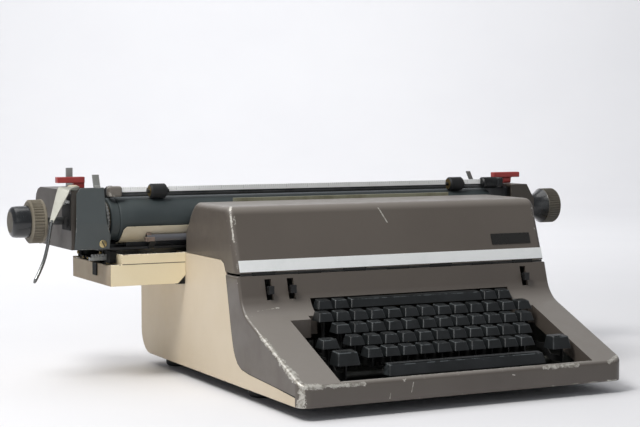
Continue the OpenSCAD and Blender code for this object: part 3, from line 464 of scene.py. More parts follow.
def moulded(name, own):
    look = {**plasticLook, **own}
    rough = look["rough"]
    material, tree, shader, coord = newMaterial(name, rough, coat=look["coat"])
    cloud = ramp(tree, noise(tree, coord, look["cloud"], 4, 0.6), 0.35, 0.7)
    colour = blendColour(tree, cloud, look["colour"], look["shade"])
    worn = edgeMask(tree, coord, look["edge"], noise(tree, coord, *look["grain"]))
    scale, size = look["dirt"]
    for mask in (worn, speckMask(tree, coord, scale, look["specks"], size)):
        colour = blendColour(tree, mask, colour, look["bare"])
    feed(tree, shader, "Base Color", colour)
    feed(tree, shader, "Roughness", blendValue(tree, cloud, rough, rough + look["dull"]))
    addBump(tree, shader, noise(tree, coord, look["peel"], 3), look["bump"], look["depth"])
    return material


def tone(colour, shade, rough, **more):
    return {"colour": colour, "shade": shade, "rough": rough, **more}


coverLines = [
    ((-177.3, 140, 121), (-177.3, 152, 155), 1.5, 0.86),
    ((-177.3, 151, 152), (-176.5, 161, 181), 2.0, 0.92),
    ((-176.5, 161, 181), (-172, 168, 185), 3.0, 0.58),
    ((-12.3, 160.3, 180.5), (-4.5, 154.9, 165.2), 0.75, 1.15),
    ((178.5, 139, 121), (178.5, 160, 180), 1.6, 0.3),
    ((-178.5, 172, 185), (-178.5, 245, 185), 1.6, 0.3),
]
housingLines = [
    ((-177, 2, 33), (-177, 42, 49.5), 7.5, 0.76),
    ((-177, 38, 48), (-177, 86, 68), 5.0, 0.7),
    ((-177.3, 82, 66), (-177.5, 120, 83), 3.2, 0.6),
    ((-178, 124, 88), (-178, 138, 118), 1.6, 0.56),
    ((-175.5, 4, 14), (-175.5, 4, 33), 8.0, 0.7),
    ((-176, 3, 32), (-158, 0, 32), 6.0, 0.72),
    ((-160, 0, 31.5), (-113, 0, 30.5), 3.8, 0.66),
    ((84, 0, 31.5), (122, 0, 32), 4.8, 0.7),
    ((-178, 0, 32), (178, 0, 32), 1.4, 0.56),
    ((-62, 0, 28), (-64, 0, 19), 0.6, 0.8),
    ((47, 0, 27.2), (49.6, 0, 26.6), 0.7, 0.8),
    ((-86, 0, 20), (-87, 0, 15), 0.6, 0.8),
    ((160, 0, 32), (178.5, 10, 36), 4.0, 0.62),
    ((178.5, 10, 36), (178.5, 124, 84), 2.2, 0.45),
    ((-170, 4, 13), (170, 0, 13), 2.0, 0.42),
    ((-136, 4, 33.6), (143, 4, 33.6), 1.1, 0.66),
    ((-166, 124, 86), (-140, 126, 88), 3.0, 0.32),
]
beigeLines = [
    ((-178.5, 11, 21.5), (-178.5, 112, 28), 1.4, 0.4),
    ((-178.5, 60, 12), (-178.5, 380, 12), 2.0, 0.45),
]
beige = {"edge": 0.16, "bare": "#8d7f6b", "metal": 0.1, "specks": 0.03}
evenBrush = (200, 200, 200)
paints = {
    "coverPaint": tone("#5c554e", "#564f48", 0.42, coat=0.12, edge=0.14, specks=0.02, bump=0.1,
                       dust=("#948e87", 0.5), bare="#c6c3bb", primer="#9a958c", lines=coverLines),
    "housingPaint": tone("#5a534c", "#544d47", 0.4, coat=0.15, edge=0.12, specks=0.02, bump=0.1,
                         dust=("#938e88", 0.6), bare="#c2bfb7", primer="#8f8a81", lines=housingLines),
    "beigePaint": tone("#d0c2ab", "#c6b79f", 0.5, cloud=5, lines=beigeLines, **beige),
    "wingPaint": tone("#f0e2c1", "#e6d6af", 0.5, cloud=5, dust=("#fff6e2", 0.9), **beige),
    # darker beige painted as the shade that falls on the wing end faces
    "grimyPaint": tone("#a8987f", "#93836c", 0.5, cloud=12, **beige),
    "brownPaint": tone("#443e38", "#3b3630", 0.45, edge=0.18, bare="#9a948a", specks=0.02,
                       dust=("#6b645c", 0.35)),
    "slatePaint": tone("#4d5354", "#454b4c", 0.5, edge=0.22, bare="#8b8d8a", specks=0.03),
    "blackPaint": tone("#24262a", "#1d1f21", 0.5, bare="#6f7072", specks=0.02),
    "creamPaint": tone("#cbc2ae", "#b4a88e", 0.42, bare="#8a7f6c", metal=0.1, specks=0.04, cloud=14),
    "pitBlack": tone("#131414", "#0c0d0d", 0.8, edge=0.08, bare="#4b4c4c"),
    "seamShadow": tone("#5a4f42", "#453c32", 0.7, edge=0.05, bare="#8d7f6b"),
    "barGrey": tone("#5c5d62", "#515256", 0.45, edge=0.15, bare="#8b8d8f"),
    "gripGrey": tone("#77716a", "#6b665f", 0.45, bare="#a8a49c"),
    "plateEnamel": tone("#1b1916", "#141311", 0.3, coat=0.3, edge=0.02, bump=0.03, bare="#8b8577",
                        specks=0.02),
}
metals = {
    "dullSteel": tone("#8d8e8b", "#5f5d58", 0.38),
    "trimAluminium": tone("#fbfdfc", "#eef1f0", 0.42, brush=(30, 1500, 1500), cloud=18, metal=0.3),
    "bladeMetal": tone("#a8a89f", "#96968c", 0.5, metal=0.35, brush=evenBrush),
    "rodChrome": tone("#8b8d8d", "#6d6e6c", 0.2, brush=evenBrush),
    "leverChrome": tone("#a3a5a3", "#8b8c88", 0.35, metal=0.6, brush=evenBrush),
    "agedBrass": tone("#a08b5c", "#6a5a3a", 0.4, brush=(60, 700, 700)),
    "screwBrass": tone("#c2b184", "#9a895f", 0.36, brush=(500, 500, 500)),
    "dullBrass": tone("#6b5c42", "#4a3f2d", 0.5, metal=0.6),
    "bracketMetal": tone("#9a8a80", "#75675e", 0.45, metal=0.7),
    "scaleMetal": tone("#a3a28c", "#86846d", 0.45, metal=0.5),
    "spoolMetal": tone("#55544f", "#3a3936", 0.42, metal=0.8),
    "bailMetal": tone("#6d6f70", "#4b4c4d", 0.36, metal=0.9),
    "darkSteel": tone("#4c4d4d", "#353433", 0.4, metal=0.85),
}
plastics = {
    "keyPlastic": tone("#16191a", "#1d2022", 0.36, edge=0.28, bare="#4c5153", specks=0.04, bump=0.08),
    "selectorPlastic": tone("#0f1011", "#17181a", 0.4, bare="#3b3e40"),
    "knobPlastic": tone("#141618", "#1c1f21", 0.2, coat=0.35, edge=0.18, bare="#4f5253", specks=0.02),
    "knobEnd": tone("#5a554b", "#4c483f", 0.5, edge=0.2, bare="#6d675a"),
    "knobRing": tone("#7a7365", "#665f50", 0.5, bare="#7d7563"),
    "redPlastic": tone("#a63a37", "#8f2f2d", 0.32, coat=0.2, edge=0.16, bare="#c9817b", specks=0.03),
    "platenRubber": tone("#30383a", "#3a4243", 0.55, edge=0.1, bare="#4b4f50", peel=900, bump=0.15,
                         cloud=20),
    "blackRubber": tone("#161718", "#202223", 0.6, edge=0.15, bare="#3f4041", peel=1100, bump=0.2),
}
for make, looks in ((enamel, paints), (bareMetal, metals), (moulded, plastics)):
    finishes.update({name: make(name, look) for name, look in looks.items()})
print("finishes made:", len(finishes))

# casing, housing and cover
casingLook = {"round": 1.2, "segments": 3, "angle": 40}
wingLook = {"round": 1.6, "segments": 3, "angle": 40, "end": bodyHalf + 82}
panLook = {"round": 0.6}
feetLook = {"round": 1.5, "segments": 3}
coverLook = {"side": 6.5, "sideSegments": 5, "rim": 0.7}
housingLook = {"corner": 12, "side": 2.7, "sideSegments": 4, "foot": 2, "rim": 0.7}
hingeLook = {"y": 140.06, "z": 119.8, "reach": 2.4}
bodyMid = at(0, 0, 0)
nearSide = 0.2  # millimetres from an outer face that still count as on it


def bodyPoint(e):  # middle of an edge in body millimetres
    return ((e.verts[0].co + e.verts[1].co) / 2 - bodyMid) / mm


# the hinge knuckles are painted black: painted shade of the joint line they lie in
def paintHingeShade(bm):  # the knuckles lie in the dark joint line
    def nearHinge(middle):
        p = (middle - bodyMid) / mm
        return math.hypot(p.y - hingeLook["y"], p.z - hingeLook["z"]) < hingeLook["reach"]
    markFaces(bm.faces, nearHinge)


def coverSide(e):  # where the front or the top meets a side
    normals = [f.normal for f in e.link_faces]
    flat = [n for n in normals if abs(n.x) > 0.9]
    other = [n for n in normals if abs(n.x) < 0.1 and (n.y < -0.3 or n.z > 0.3)]
    return abs(bodyPoint(e).x) > bodyHalf - nearSide and len(flat) == 1 and len(other) == 1


def makeCover():
    bm = cadMesh("top_cover")
    roundEdges(bm, coverLook["side"], coverLook["sideSegments"], 30, coverSide, False)
    roundEdges(bm, coverLook["rim"], 2, 35)
    paintHingeShade(bm)
    newPiece("topCoverShell", bm, "cover", ["coverPaint", "pitBlack"], ["top_cover"])


def outerEdge(e):  # on the outside of the housing, with one upright face
    x, y, _ = bodyPoint(e)
    radius = housingLook["corner"]
    corner = bodyHalf - radius
    outer = abs(x) > bodyHalf - nearSide or y < nearSide
    if abs(x) > corner and y < radius:
        outer = math.hypot(abs(x) - corner, y - radius) > radius - 0.3
    return outer and min(abs(f.normal.z) for f in e.link_faces) < 0.1


def housingRim(e):
    return outerEdge(e) and max(f.normal.z for f in e.link_faces) > 0.25


def housingFoot(e):
    lip = bodyPoint(e).y < housingLook["corner"]
    return lip and outerEdge(e) and min(f.normal.z for f in e.link_faces) < -0.9


def makeHousing():
    bm = cadMesh("front_housing")
    roundEdges(bm, housingLook["side"], housingLook["sideSegments"], 20, housingRim, False)
    roundEdges(bm, housingLook["foot"], 3, 20, housingFoot)
    roundEdges(bm, housingLook["rim"], 2, 35)
    paintHingeShade(bm)
    looks = ["housingPaint", "pitBlack"]
    newPiece("frontHousingShell", bm, "machine", looks, ["front_housing"])


def makeCasing():
    for node in ("left_casing", "right_casing", "rear_casing"):
        softened(node, casingLook, "beigePaint")
    # the wing's outer end faces take the darker beige: painted shade under the overhanging carriage ends
    wings = softened("rail_wings", wingLook, ["wingPaint", "grimyPaint"])
    markFaces(wings.data.polygons, lambda middle: abs((middle - bodyMid).x) > (wingLook["end"] - 0.3) * mm)
    softened("bottom_pan", panLook, "blackPaint")
    softened("rubber_feet", feetLook, "blackRubber")


# toothed margin racks and their brackets, seen at the outer ends of the wings, a black wedge painted as shade
# in each wing's cut lower corner, and the seam along each wing
rackLook = {
    "x": (200, 274), "y": (296, 300), "z": (125, 128.6), "tooth": (3.0, 2.8),
    "bracket": ((249, 286, 122.5), (256, 303, 134.6)),
    "foot": ((254.1, 303, 122.2), (257.6, 384, 124.4)),
    "lugFront": ((254.1, 303, 122.2), (257.6, 311.6, 135.4)),
    "lugRear": ((254.1, 376.4, 122.2), (257.6, 384, 135.4)),
    "hook": ((260.2, 312, 108), (262, 324, 121)),
    "seam": ((179, 270.8, 121.6), (248, 271.6, 122.5)),
    "pins": (257, 259.6),
    "pinSpots": ((307.4, 127, 2), (307.4, 132.2, 1.6), (380, 127, 2), (380, 132.2, 1.6),
                 (320, 123.3, 1), (334, 123.3, 1), (348, 123.3, 1), (362, 123.3, 1)),
    "corner": ((188.4, 99.2), (178.8, 108.2), (178.8, 99.2)), "cornerShadeDepth": (272.4, 279),
}
# the dark line where the housing meets the side casings
partLook = {
    "x": 178.3, "drop": 0.2,
    "line": ((11, 21.5), (50, 24.5), (112, 28), (130, 30.5), (138.5, 34.5), (144.5, 41), (149, 50),
             (154, 66.5), (162.3, 101), (166.5, 118)),
    "bead": ((-0.45, -0.6), (0.45, -0.6), (0.45, 0.1), (0.25, 0.2), (-0.25, 0.2), (-0.45, 0.1)),
}


def bothWings(name):  # a block and its mirror image
    made = blankMesh()
    for side in bothSides:
        ends = [[side * corner[0], *corner[1:]] for corner in rackLook[name]]
        joinMesh(made, boxMesh(at(*[min(v) for v in zip(*ends)]), at(*[max(v) for v in zip(*ends)]), 0.35))
    return made


def makeRacks():
    (x0, x1), (low, high) = rackLook["x"], rackLook["z"]
    pitch, tall = rackLook["tooth"]
    outline = [(x1, high), (x1, low), (x0, low), (x0, high)]
    for i in range(int((x1 - x0) / pitch)):
        tooth = ((0.1, high), (0.32, high + tall), (0.68, high + tall), (0.9, high))
        outline += [(x0 + pitch * i + pitch * share, z) for share, z in tooth]
    bars, pins, beads, dark = blankMesh(), blankMesh(), blankMesh(), bothWings("bracket")
    for name in ("foot", "lugFront", "lugRear", "hook"):
        joinMesh(dark, bothWings(name))
    start, end = rackLook["pins"]
    for side in bothSides:
        bar = [[at(side * x, y, z) for x, z in outline] for y in rackLook["y"]]
        joinMesh(bars, slab(bar, 0.25, 1, 60))
        for y, z, r in rackLook["pinSpots"]:
            profile = ((start, 0.3), (start, r), (end - 0.4, r), (end, r - 0.4), (end, 0.3))
            joinMesh(pins, lathe([(side * x, size) for x, size in profile], at(0, y, z), 20))
        # a black wedge in the wing's cut lower corner: painted shade of the hollow behind it
        corner = [[at(side * x, y, z) for x, z in rackLook["corner"]] for y in rackLook["cornerShadeDepth"]]
        joinMesh(dark, slab(corner, 0.3, 1, 40))
        drop = partLook["drop"]
        path = [at(side * partLook["x"], y + drop, z - drop) for y, z in partLook["line"]]
        joinMesh(beads, sweep(path, partLook["bead"], [Vector((side, 0, 0))] * len(path)))
    newPiece("marginRacks", bars, "machine", "leverChrome")
    newPiece("rackPins", pins, "machine", "agedBrass")
    newPiece("rackBracketsAndCornerShade", dark, "machine", "pitBlack")
    newPiece("partingBeads", beads, "machine", "pitBlack")
    newPiece("wingSeams", bothWings("seam"), "machine", "seamShadow")


makeCover()
makeHousing()
makeCasing()
makeRacks()
print("casing, housing and cover made")

# keyboard
keyLook = {
    "pitch": 19.05, "first": -102.5, "row": (50, 18.5), "top": (56, 9.5), "size": (16.6, 17, 9), "taper": 1.9,
    "front": 3.2, "back": 2.0, "slope": 1.0, "corner": 1.1, "dish": 0.9, "cornerWear": 0.35,
}
letterRows = [("front_letter_keys", "front_row", 10, 1.25), ("home_keys", "home_row", 11, 0.75),
              ("upper_letter_keys", "upper_row", 12, 0.5), ("number_keys", "number_row", 13, 0.0)]
centreKey = (1, 5)  # row and place of the key that moves alone
otherKeys = {
    "functions": [-93.3, -75.3, 97.2, 114.8], "functionSize": (16.6, 14.5, 9), "topRow": (124, 94),
    "tab": (11, 153), "space": (4.5, 15.5, 45, 174, 14, 11),
    "shift": [(-112, 41, 55.5, 24, 18, 13), (127, 41, 55.5, 22, 18, 13)],
    "lock": (-117, 67, 64, 18.6, 17, 9),
    "cuts": {"centre_key": 56.8, "function_key_set": 85.3, "tab_bar": 85.3, "space_bar": 34.3,
             "shift_lock_key": 55.3},  # heights at which the CAD levers end in the caps
}
selectorLook = {"round": 0.5, "segments": 2}


def capMesh(bm, x, y, top, width, depth, height):
    # a cap with leaning sides, a rounded rim and a shallow dish that slopes to the typist
    reach = min(width, depth) / 2 - keyLook["taper"]
    levels = [(0.0, 0.0, 0.0), (0.05, 0.0, 0.0), (0.92, 0.0, 0.0), (0.975, 0.1, 0.0), (1.0, 0.45, 0.0),
              (1.0, 1.1, 0.25), (1.0, reach * 0.55, 0.75), (1.0, reach * 0.86, 1.0)]
    rings = []
    for share, inset, sunk in levels:  # share of the height, inset from the sides, depth of the dish
        half = width / 2 - keyLook["taper"] * share - inset
        front = -depth / 2 + keyLook["front"] * share + inset
        back = depth / 2 - keyLook["back"] * share - inset
        radius = min(keyLook["corner"] + 0.3 * share, half * 0.8, (back - front) * 0.4)
        ring = []
        for u, v in roundedRect(half * 2, back - front, radius, 3):
            along = (v + (back - front) / 2) / (back - front)
            rise = share * (height - keyLook["slope"] * (1 - along)) - sunk * keyLook["dish"]
            ring.append(at(x + u, y + v + (front + back) / 2, top - height + rise))
        rings.append(ring)
    start = len(bm.faces)
    ringStack(bm, rings, (2, 3))
    bm.faces.ensure_lookup_table()
    wear = bm.faces.layers.float.get("edgeWear")
    count = len(rings[0])
    for i in range(count):
        if i % 4 != 3:  # the upright corners
            bm.faces[start + count + i][wear] = keyLook["cornerWear"]


def keyPlace(row, place):
    return (keyLook["first"] + (letterRows[row][3] + place) * keyLook["pitch"],
            keyLook["row"][0] + row * keyLook["row"][1], keyLook["top"][0] + row * keyLook["top"][1])


def makeLetterKeys():
    for row, (node, body, count, _) in enumerate(letterRows):
        bm = blankMesh()
        for place in range(count):
            if (row, place) != centreKey:
                capMesh(bm, *keyPlace(row, place), *keyLook["size"])
        newPiece(node.replace("_keys", "") + "Caps", bm, body, "keyPlastic", [node])


def makeLeveredKeys(node, body, *caps):  # caps on the CAD levers below the cut height
    bm = cadMesh(node)
    bmesh.ops.edgeloop_fill(bm, edges=cutAway(bm, at(0, 0, otherKeys["cuts"][node]), (0, 0, 1)))
    for face in bm.faces:
        face.material_index = 1
    for cap in caps:
        capMesh(bm, *cap)
    newPiece(node + "Dressed", bm, body, ["keyPlastic", "darkSteel"], [node])


def makeOtherKeys():
    topRow, size = otherKeys["topRow"], otherKeys["functionSize"]
    tabX, tabWidth = otherKeys["tab"]
    makeLeveredKeys("centre_key", "centre_key", (*keyPlace(*centreKey), *keyLook["size"]))
    functions = [(x, *topRow, *size) for x in otherKeys["functions"]]
    makeLeveredKeys("function_key_set", "function_keys", *functions)
    makeLeveredKeys("tab_bar", "tab_bar", (tabX, *topRow, tabWidth, *size[1:]))
    makeLeveredKeys("space_bar", "space_bar", otherKeys["space"])
    makeLeveredKeys("shift_lock_key", "shift_lock", otherKeys["lock"])
    bm = blankMesh()
    for cap in otherKeys["shift"]:
        capMesh(bm, *cap)
    newPiece("shiftCaps", bm, "shift", "keyPlastic", ["shift_keys"])


def makeSelectors():
    for side in ("left", "middle", "right"):
        softened("selector_" + side, selectorLook, "selectorPlastic")


makeLetterKeys()
makeOtherKeys()
makeSelectors()
print("keyboard made")

# carriage ends
endLook = {"round": 3.0, "segments": 4, "angle": 35}
plateLook = {
    "left": ((138.4, -275), (195, -273.7), (201, -268.5)),
    "right": ((138.4, -238), (152, -238), (167, -242.5), (201, -243.5)),
    "front": 274.4, "crease": (270.0, 166), "back": 275.6, "round": 0.8,
}
screwLook = {
    "spot": (-245.5, 144), "sunk": 0.6,
    "head": [(0, 0.3), (0, 3.9), (-1.0, 3.9), (-1.6, 3.1), (-1.8, 1.8), (-1.8, 0.3)],
    "groove": ((-3.3, -0.3, -0.5), (3.3, 0.4, 0.5)), "grooveOut": 2.42, "turn": 62,
}


def edgeAt(corners, z):  # reads a bent edge at one height
    for (z0, x0), (z1, x1) in zip(corners, corners[1:]):
        if z <= z1:
            return x0 + (x1 - x0) * (z - z0) / (z1 - z0)
    return corners[-1][1]


def makeEndHousings():
    softened("left_end_housing", endLook, "brownPaint")
    softened("right_end_housing", endLook, "brownPaint")
    low, knee, high = [z for z, _ in plateLook["left"]]
    bends = [z for z, _ in plateLook["right"][1:3]]
    front, back = plateLook["front"], plateLook["back"]
    creaseY, creaseZ = plateLook["crease"]
    sections = [(back, low), (back, bends[0]), (back, bends[1]), (back, knee), (back, high), (front, high),
                (front - 0.8, knee), (creaseY + 0.25, creaseZ + 2.5), (creaseY, creaseZ),
                (creaseY + 0.25, creaseZ - 2.5), (creaseY + 2.2, bends[0]), (front, low)]
    rings = [[onCarriage(edgeAt(plateLook[side], z), y, z) for y, z in sections]
             for side in ("left", "right")]
    plate = slab(rings, plateLook["round"], 3, 40)
    newPiece("lineSpacePlate", plate, "carriage", "slatePaint", ["line_space_cover"])
    x, z = screwLook["spot"]
    head = lathe(screwLook["head"], onCarriage(x, front - screwLook["sunk"], z), 32, "Y")
    roundEdges(head, 0.15, 2, 60)
    newPiece("plateScrew", head, "carriage", "screwBrass")
    groove = boxMesh(*[Vector(corner) * mm for corner in screwLook["groove"]], 0.1, 1)
    spot = Matrix.Translation(onCarriage(x, front - screwLook["grooveOut"], z))
    spin = spot @ Matrix.Rotation(math.radians(screwLook["turn"]), 4, "Y")
    bmesh.ops.transform(groove, matrix=spin, verts=groove.verts)
    newPiece("screwGroove", groove, "carriage", "blackPaint")


# platen, knobs and ratchet
platenLook = {"half": 225, "radius": 22.5, "axis": (300, 167)}
knobLook = {"ridges": 44, "depth": 0.045, "ring": (-316, -301, 22), "cap": (-334, 16), "neck": (279, 302.5),
            "neckSize": (10.5, 8.2, 2.2), "rim": (320.5, 20)}
ratchetLook = {
    "round": 0.25, "segments": 1, "angle": 45, "name": "platenShaftAndRatchet", "teeth": 17.6, "reach": 245,
    "collar": [(-234.2, 5), (-234.2, 20.6), (-233.6, 21.4), (-232.6, 21.8), (-225.4, 21.8), (-225.4, 5)],
    "flange": [(-235, 5), (-235, 17.6), (-234.8, 17.9), (-234.3, 17.9), (-234.1, 17.6), (-234.1, 5)],
}
platenAxis = onCarriage(0, *platenLook["axis"])


def ridged(start, end):
    def ripple(i, along):
        return 1 - knobLook["depth"] if start < along < end and i % 4 in (2, 3) else 1.0
    return ripple


def makePlaten():
    half, r = platenLook["half"], platenLook["radius"]
    profile = [(-half, 4.5), (-half, r - 1.5), (-half + 0.5, r - 0.5), (-half + 1.5, r), (-half + 6, r)]
    profile += [(-half + 6 + (2 * half - 12) * i / 12, r) for i in range(1, 13)]
    profile += [(half - 1.5, r), (half - 0.5, r - 0.5), (half, r - 1.5), (half, 4.5)]
    roll = lathe(profile, platenAxis, 96)
    newPiece("platenRoll", roll, "platen", "platenRubber", ["platen"])


def capOfKnob(tip, seat, r):
    profile = [(seat + 1, r - 1), (seat + 1, r + 0.4), (seat - 2, r + 0.2), (tip + 6, r), (tip + 2.6, r - 0.7),
               (tip + 1, r - 2.2), (tip + 0.2, r - 4.4), (tip, r - 5.2), (tip + 0.3, r - 5.6), (tip + 0.3, 2)]
    bm = lathe(profile, platenAxis, 64)
    for face in bm.faces:
        middle = face.calc_center_median() - platenAxis
        flat = middle.x < (tip + 0.4) * mm and math.hypot(middle.y, middle.z) < (r - 5.3) * mm
        face.material_index = 2 if flat else 1
    return bm


def makeKnobs():
    count = knobLook["ridges"] * 4
    start, end, r = knobLook["ring"]
    profile = [(start, 6), (start, r - 2.2), (start + 0.8, r - 0.9), (start + 1.6, r), (start + 1.8, r),
               (end - 3.2, r), (end - 3, r), (end - 2.6, r + 0.4), (end - 0.8, r + 0.4), (end, r - 0.8),
               (end, 6)]
    bm = lathe(profile, platenAxis, count, "X", ridged(start + 1.7, end - 3.1))
    tip, capR = knobLook["cap"]
    joinMesh(bm, capOfKnob(tip, start, capR))
    leftLooks = ["knobRing", "knobPlastic", "knobEnd"]
    newPiece("leftKnobTurned", bm, "platen", leftLooks, ["left_knob"], 30)
    start, end = knobLook["neck"]
    tip, r = knobLook["rim"]
    thin, flare, bend = knobLook["neckSize"]
    neck = [(start + (end - start) * i / 10, thin + flare * (i / 10) ** bend) for i in range(11)]
    profile = [(start, 5)] + neck + [(end + 1, r - 0.6), (end + 1.6, r), (end + 2, r), (tip - 2.2, r),
                                     (tip - 1.8, r), (tip - 0.6, r - 0.8), (tip, r - 2.4), (tip - 0.4, r - 5),
                                     (tip - 0.6, 3)]
    bm = lathe(profile, platenAxis, count, "X", ridged(end + 1.8, tip - 2))
    markFaces(bm.faces, lambda middle: (middle - platenAxis).x > (end + 1) * mm)
    newPiece("rightKnobTurned", bm, "platen", ["knobPlastic", "knobEnd"], ["right_knob"], 30)


def makeRatchet():
    def bright(middle):  # only the teeth are bright
        p = middle - platenAxis
        return math.hypot(p.y, p.z) > ratchetLook["teeth"] * mm and abs(p.x) < ratchetLook["reach"] * mm
    wheel = softened("platen_shaft", ratchetLook, ["darkSteel", "leverChrome"])
    markFaces(wheel.data.polygons, bright)
    collar = lathe(ratchetLook["collar"], platenAxis, 72)
    newPiece("platenCollar", collar, "platen", "platenRubber")
    flange = lathe(ratchetLook["flange"], platenAxis, 72)
    newPiece("ratchetFlange", flange, "platen", "dullBrass")


# black panel painted as the shade in the slot behind the return lever, with its bright feed link
recessLook = {
    "panel": ((-278.7, 277.5, 158), (-277.6, 304, 195)),
    "boss": (286, 166, 5), "bossEnds": (-280.6, -278, 0.8),
    "link": ((-280.4, 278, 185.5), (-278.4, 293, 188.5)),
    "pivot": (291, 187, 3.4), "pivotEnds": (-281, -278.4, 0.5),
}


def recessPiece(name, plate, stud, width, finish):  # a plate with a round stud
    y, z, r = recessLook[stud]
    tip, seat, cut = recessLook[stud + "Ends"]
    bm = carriageBox(recessLook[plate], width)
    profile = [(tip, 0.4), (tip, r - cut), (tip + cut, r), (seat, r), (seat, 0.4)]
    joinMesh(bm, lathe(profile, onCarriage(0, y, z), 28))
    newPiece(name, bm, "carriage", finish)


makeEndHousings()
makePlaten()
makeKnobs()
makeRatchet()
recessPiece("slotShadePanel", "panel", "boss", 0.5, "pitBlack")
recessPiece("feedLink", "link", "pivot", 0.4, "leverChrome")
print("carriage ends and platen made")

# paper bail with its scale
bailLook = {
    "y": 290, "z": 195.64, "rod": 2, "rollers": (180, 9, 7.5), "gap": 12, "end": 221, "arms": (227.6, 292),
    "strip": (-0.5, -0.8, 0.5, 4.5), "rails": ((-1.7, -2, 1.5, -0.8), (-1.7, -4.6, 1.5, -3.4)),
    "channel": (-1.2, -3.5, 1.2, -1.9),
    "rodEnds": ((-231, -220.5), (-192.5, -167.5), (167.5, 192.5), (220.5, 231)),
    "block": ((-235.2, 282.8, 190.4), (-220.8, 293.2, 201.4)),
    "stop": ((233, 282.8, 190.4), (240.5, 293.2, 201.9)),
    "grip": (214, 234, 6.4), "gripSpot": (-2, 0.4), "grooves": 8, "tabDepth": (329.8, 332.2),
    "tab": ((225.3, 191), (230.7, 191), (230.7, 196.7), (225.7, 207.8), (220.3, 207.8), (225.3, 196.7)),
}
# division lines: step in mm, width as a share of the step, height of their foot
scaleLook = {"pale": ("#fbfcfb", "#f1f2f0"), "mark": "#5b5d5d", "amount": 0.35, "rough": (0.32, 0.5),
             "lines": ((2.54, 0.11, 2.4), (25.4, 0.018, 0.6))}


def scaleFinish():  # a pale strip with dark division lines
    material, tree, shader, coord = newMaterial("bailScale", 0.38)
    parts = addNode(tree, "ShaderNodeSeparateXYZ", None, {"Vector": coord})
    marks = None
    for step, width, low in scaleLook["lines"]:
        share = sums(tree, "FRACT", sums(tree, "MULTIPLY", parts.outputs["X"], 1 / (step * mm)), 0.0)
        tall = sums(tree, "GREATER_THAN", parts.outputs["Z"], (bailLook["z"] + low) * mm)
        line = sums(tree, "MULTIPLY", sums(tree, "LESS_THAN", share, width), tall)
        marks = line if marks is None else sums(tree, "MAXIMUM", marks, line)
    stain = ramp(tree, noise(tree, coord, 30, 4, 0.6), 0.4, 0.75)
    pale = blendColour(tree, stain, *scaleLook["pale"])
    faint = sums(tree, "MULTIPLY", marks, scaleLook["amount"])
    feed(tree, shader, "Base Color", blendColour(tree, faint, pale, scaleLook["mark"]))
    feed(tree, shader, "Roughness", blendValue(tree, stain, *scaleLook["rough"]))
    addBump(tree, shader, noise(tree, coord, 500, 2), 0.05, 0.0002)
    return material


def bailSpans():  # the stretches between the rollers and the ends
    x, gap, end = bailLook["rollers"][0], bailLook["gap"], bailLook["end"]
    return [(-end, -x - gap), (-x + gap, x - gap), (x + gap, end)]


def bailStrip(bm, bounds, width):  # one long bar over every stretch, bounds as low y, low z, high y, high z
    y, z = bailLook["y"], bailLook["z"]
    y0, z0, y1, z1 = bounds
    for x0, x1 in bailSpans():
        joinMesh(bm, carriageBox(((x0, y + y0, z + z0), (x1, y + y1, z + z1)), width))


def makeBailEnds():  # block at the left, ridged grip and stop at the right, finger tab on the right arm
    newPiece("bailBlockLeft", carriageBox(bailLook["block"], 2.4, 4), "bail", "gripGrey")
    x0, x1, r = bailLook["grip"]
    profile = [(x0, 1), (x0, r - 1.2), (x0 + 1.2, r)]
    for i in range(1, bailLook["grooves"]):
        x = x0 + 1.2 + (x1 - x0 - 2.4) * i / bailLook["grooves"]
        profile += [(x - 0.5, r), (x - 0.3, r - 0.5), (x + 0.3, r - 0.5), (x + 0.5, r)]
    offY, offZ = bailLook["gripSpot"]
    middle = onCarriage(0, bailLook["y"] + offY, bailLook["z"] + offZ)
    grip = lathe(profile + [(x1 - 1.2, r), (x1, r - 1.2), (x1, 1)], middle, 40)
    joinMesh(grip, carriageBox(bailLook["stop"], 1.6, 3))
    newPiece("bailGripRight", grip, "bail", "selectorPlastic")
    tab = [[onCarriage(x, depth, z) for x, z in bailLook["tab"]] for depth in bailLook["tabDepth"]]
    newPiece("bailFingerTab", slab(tab, 0.6, 3, 20), "bail", "leverChrome")


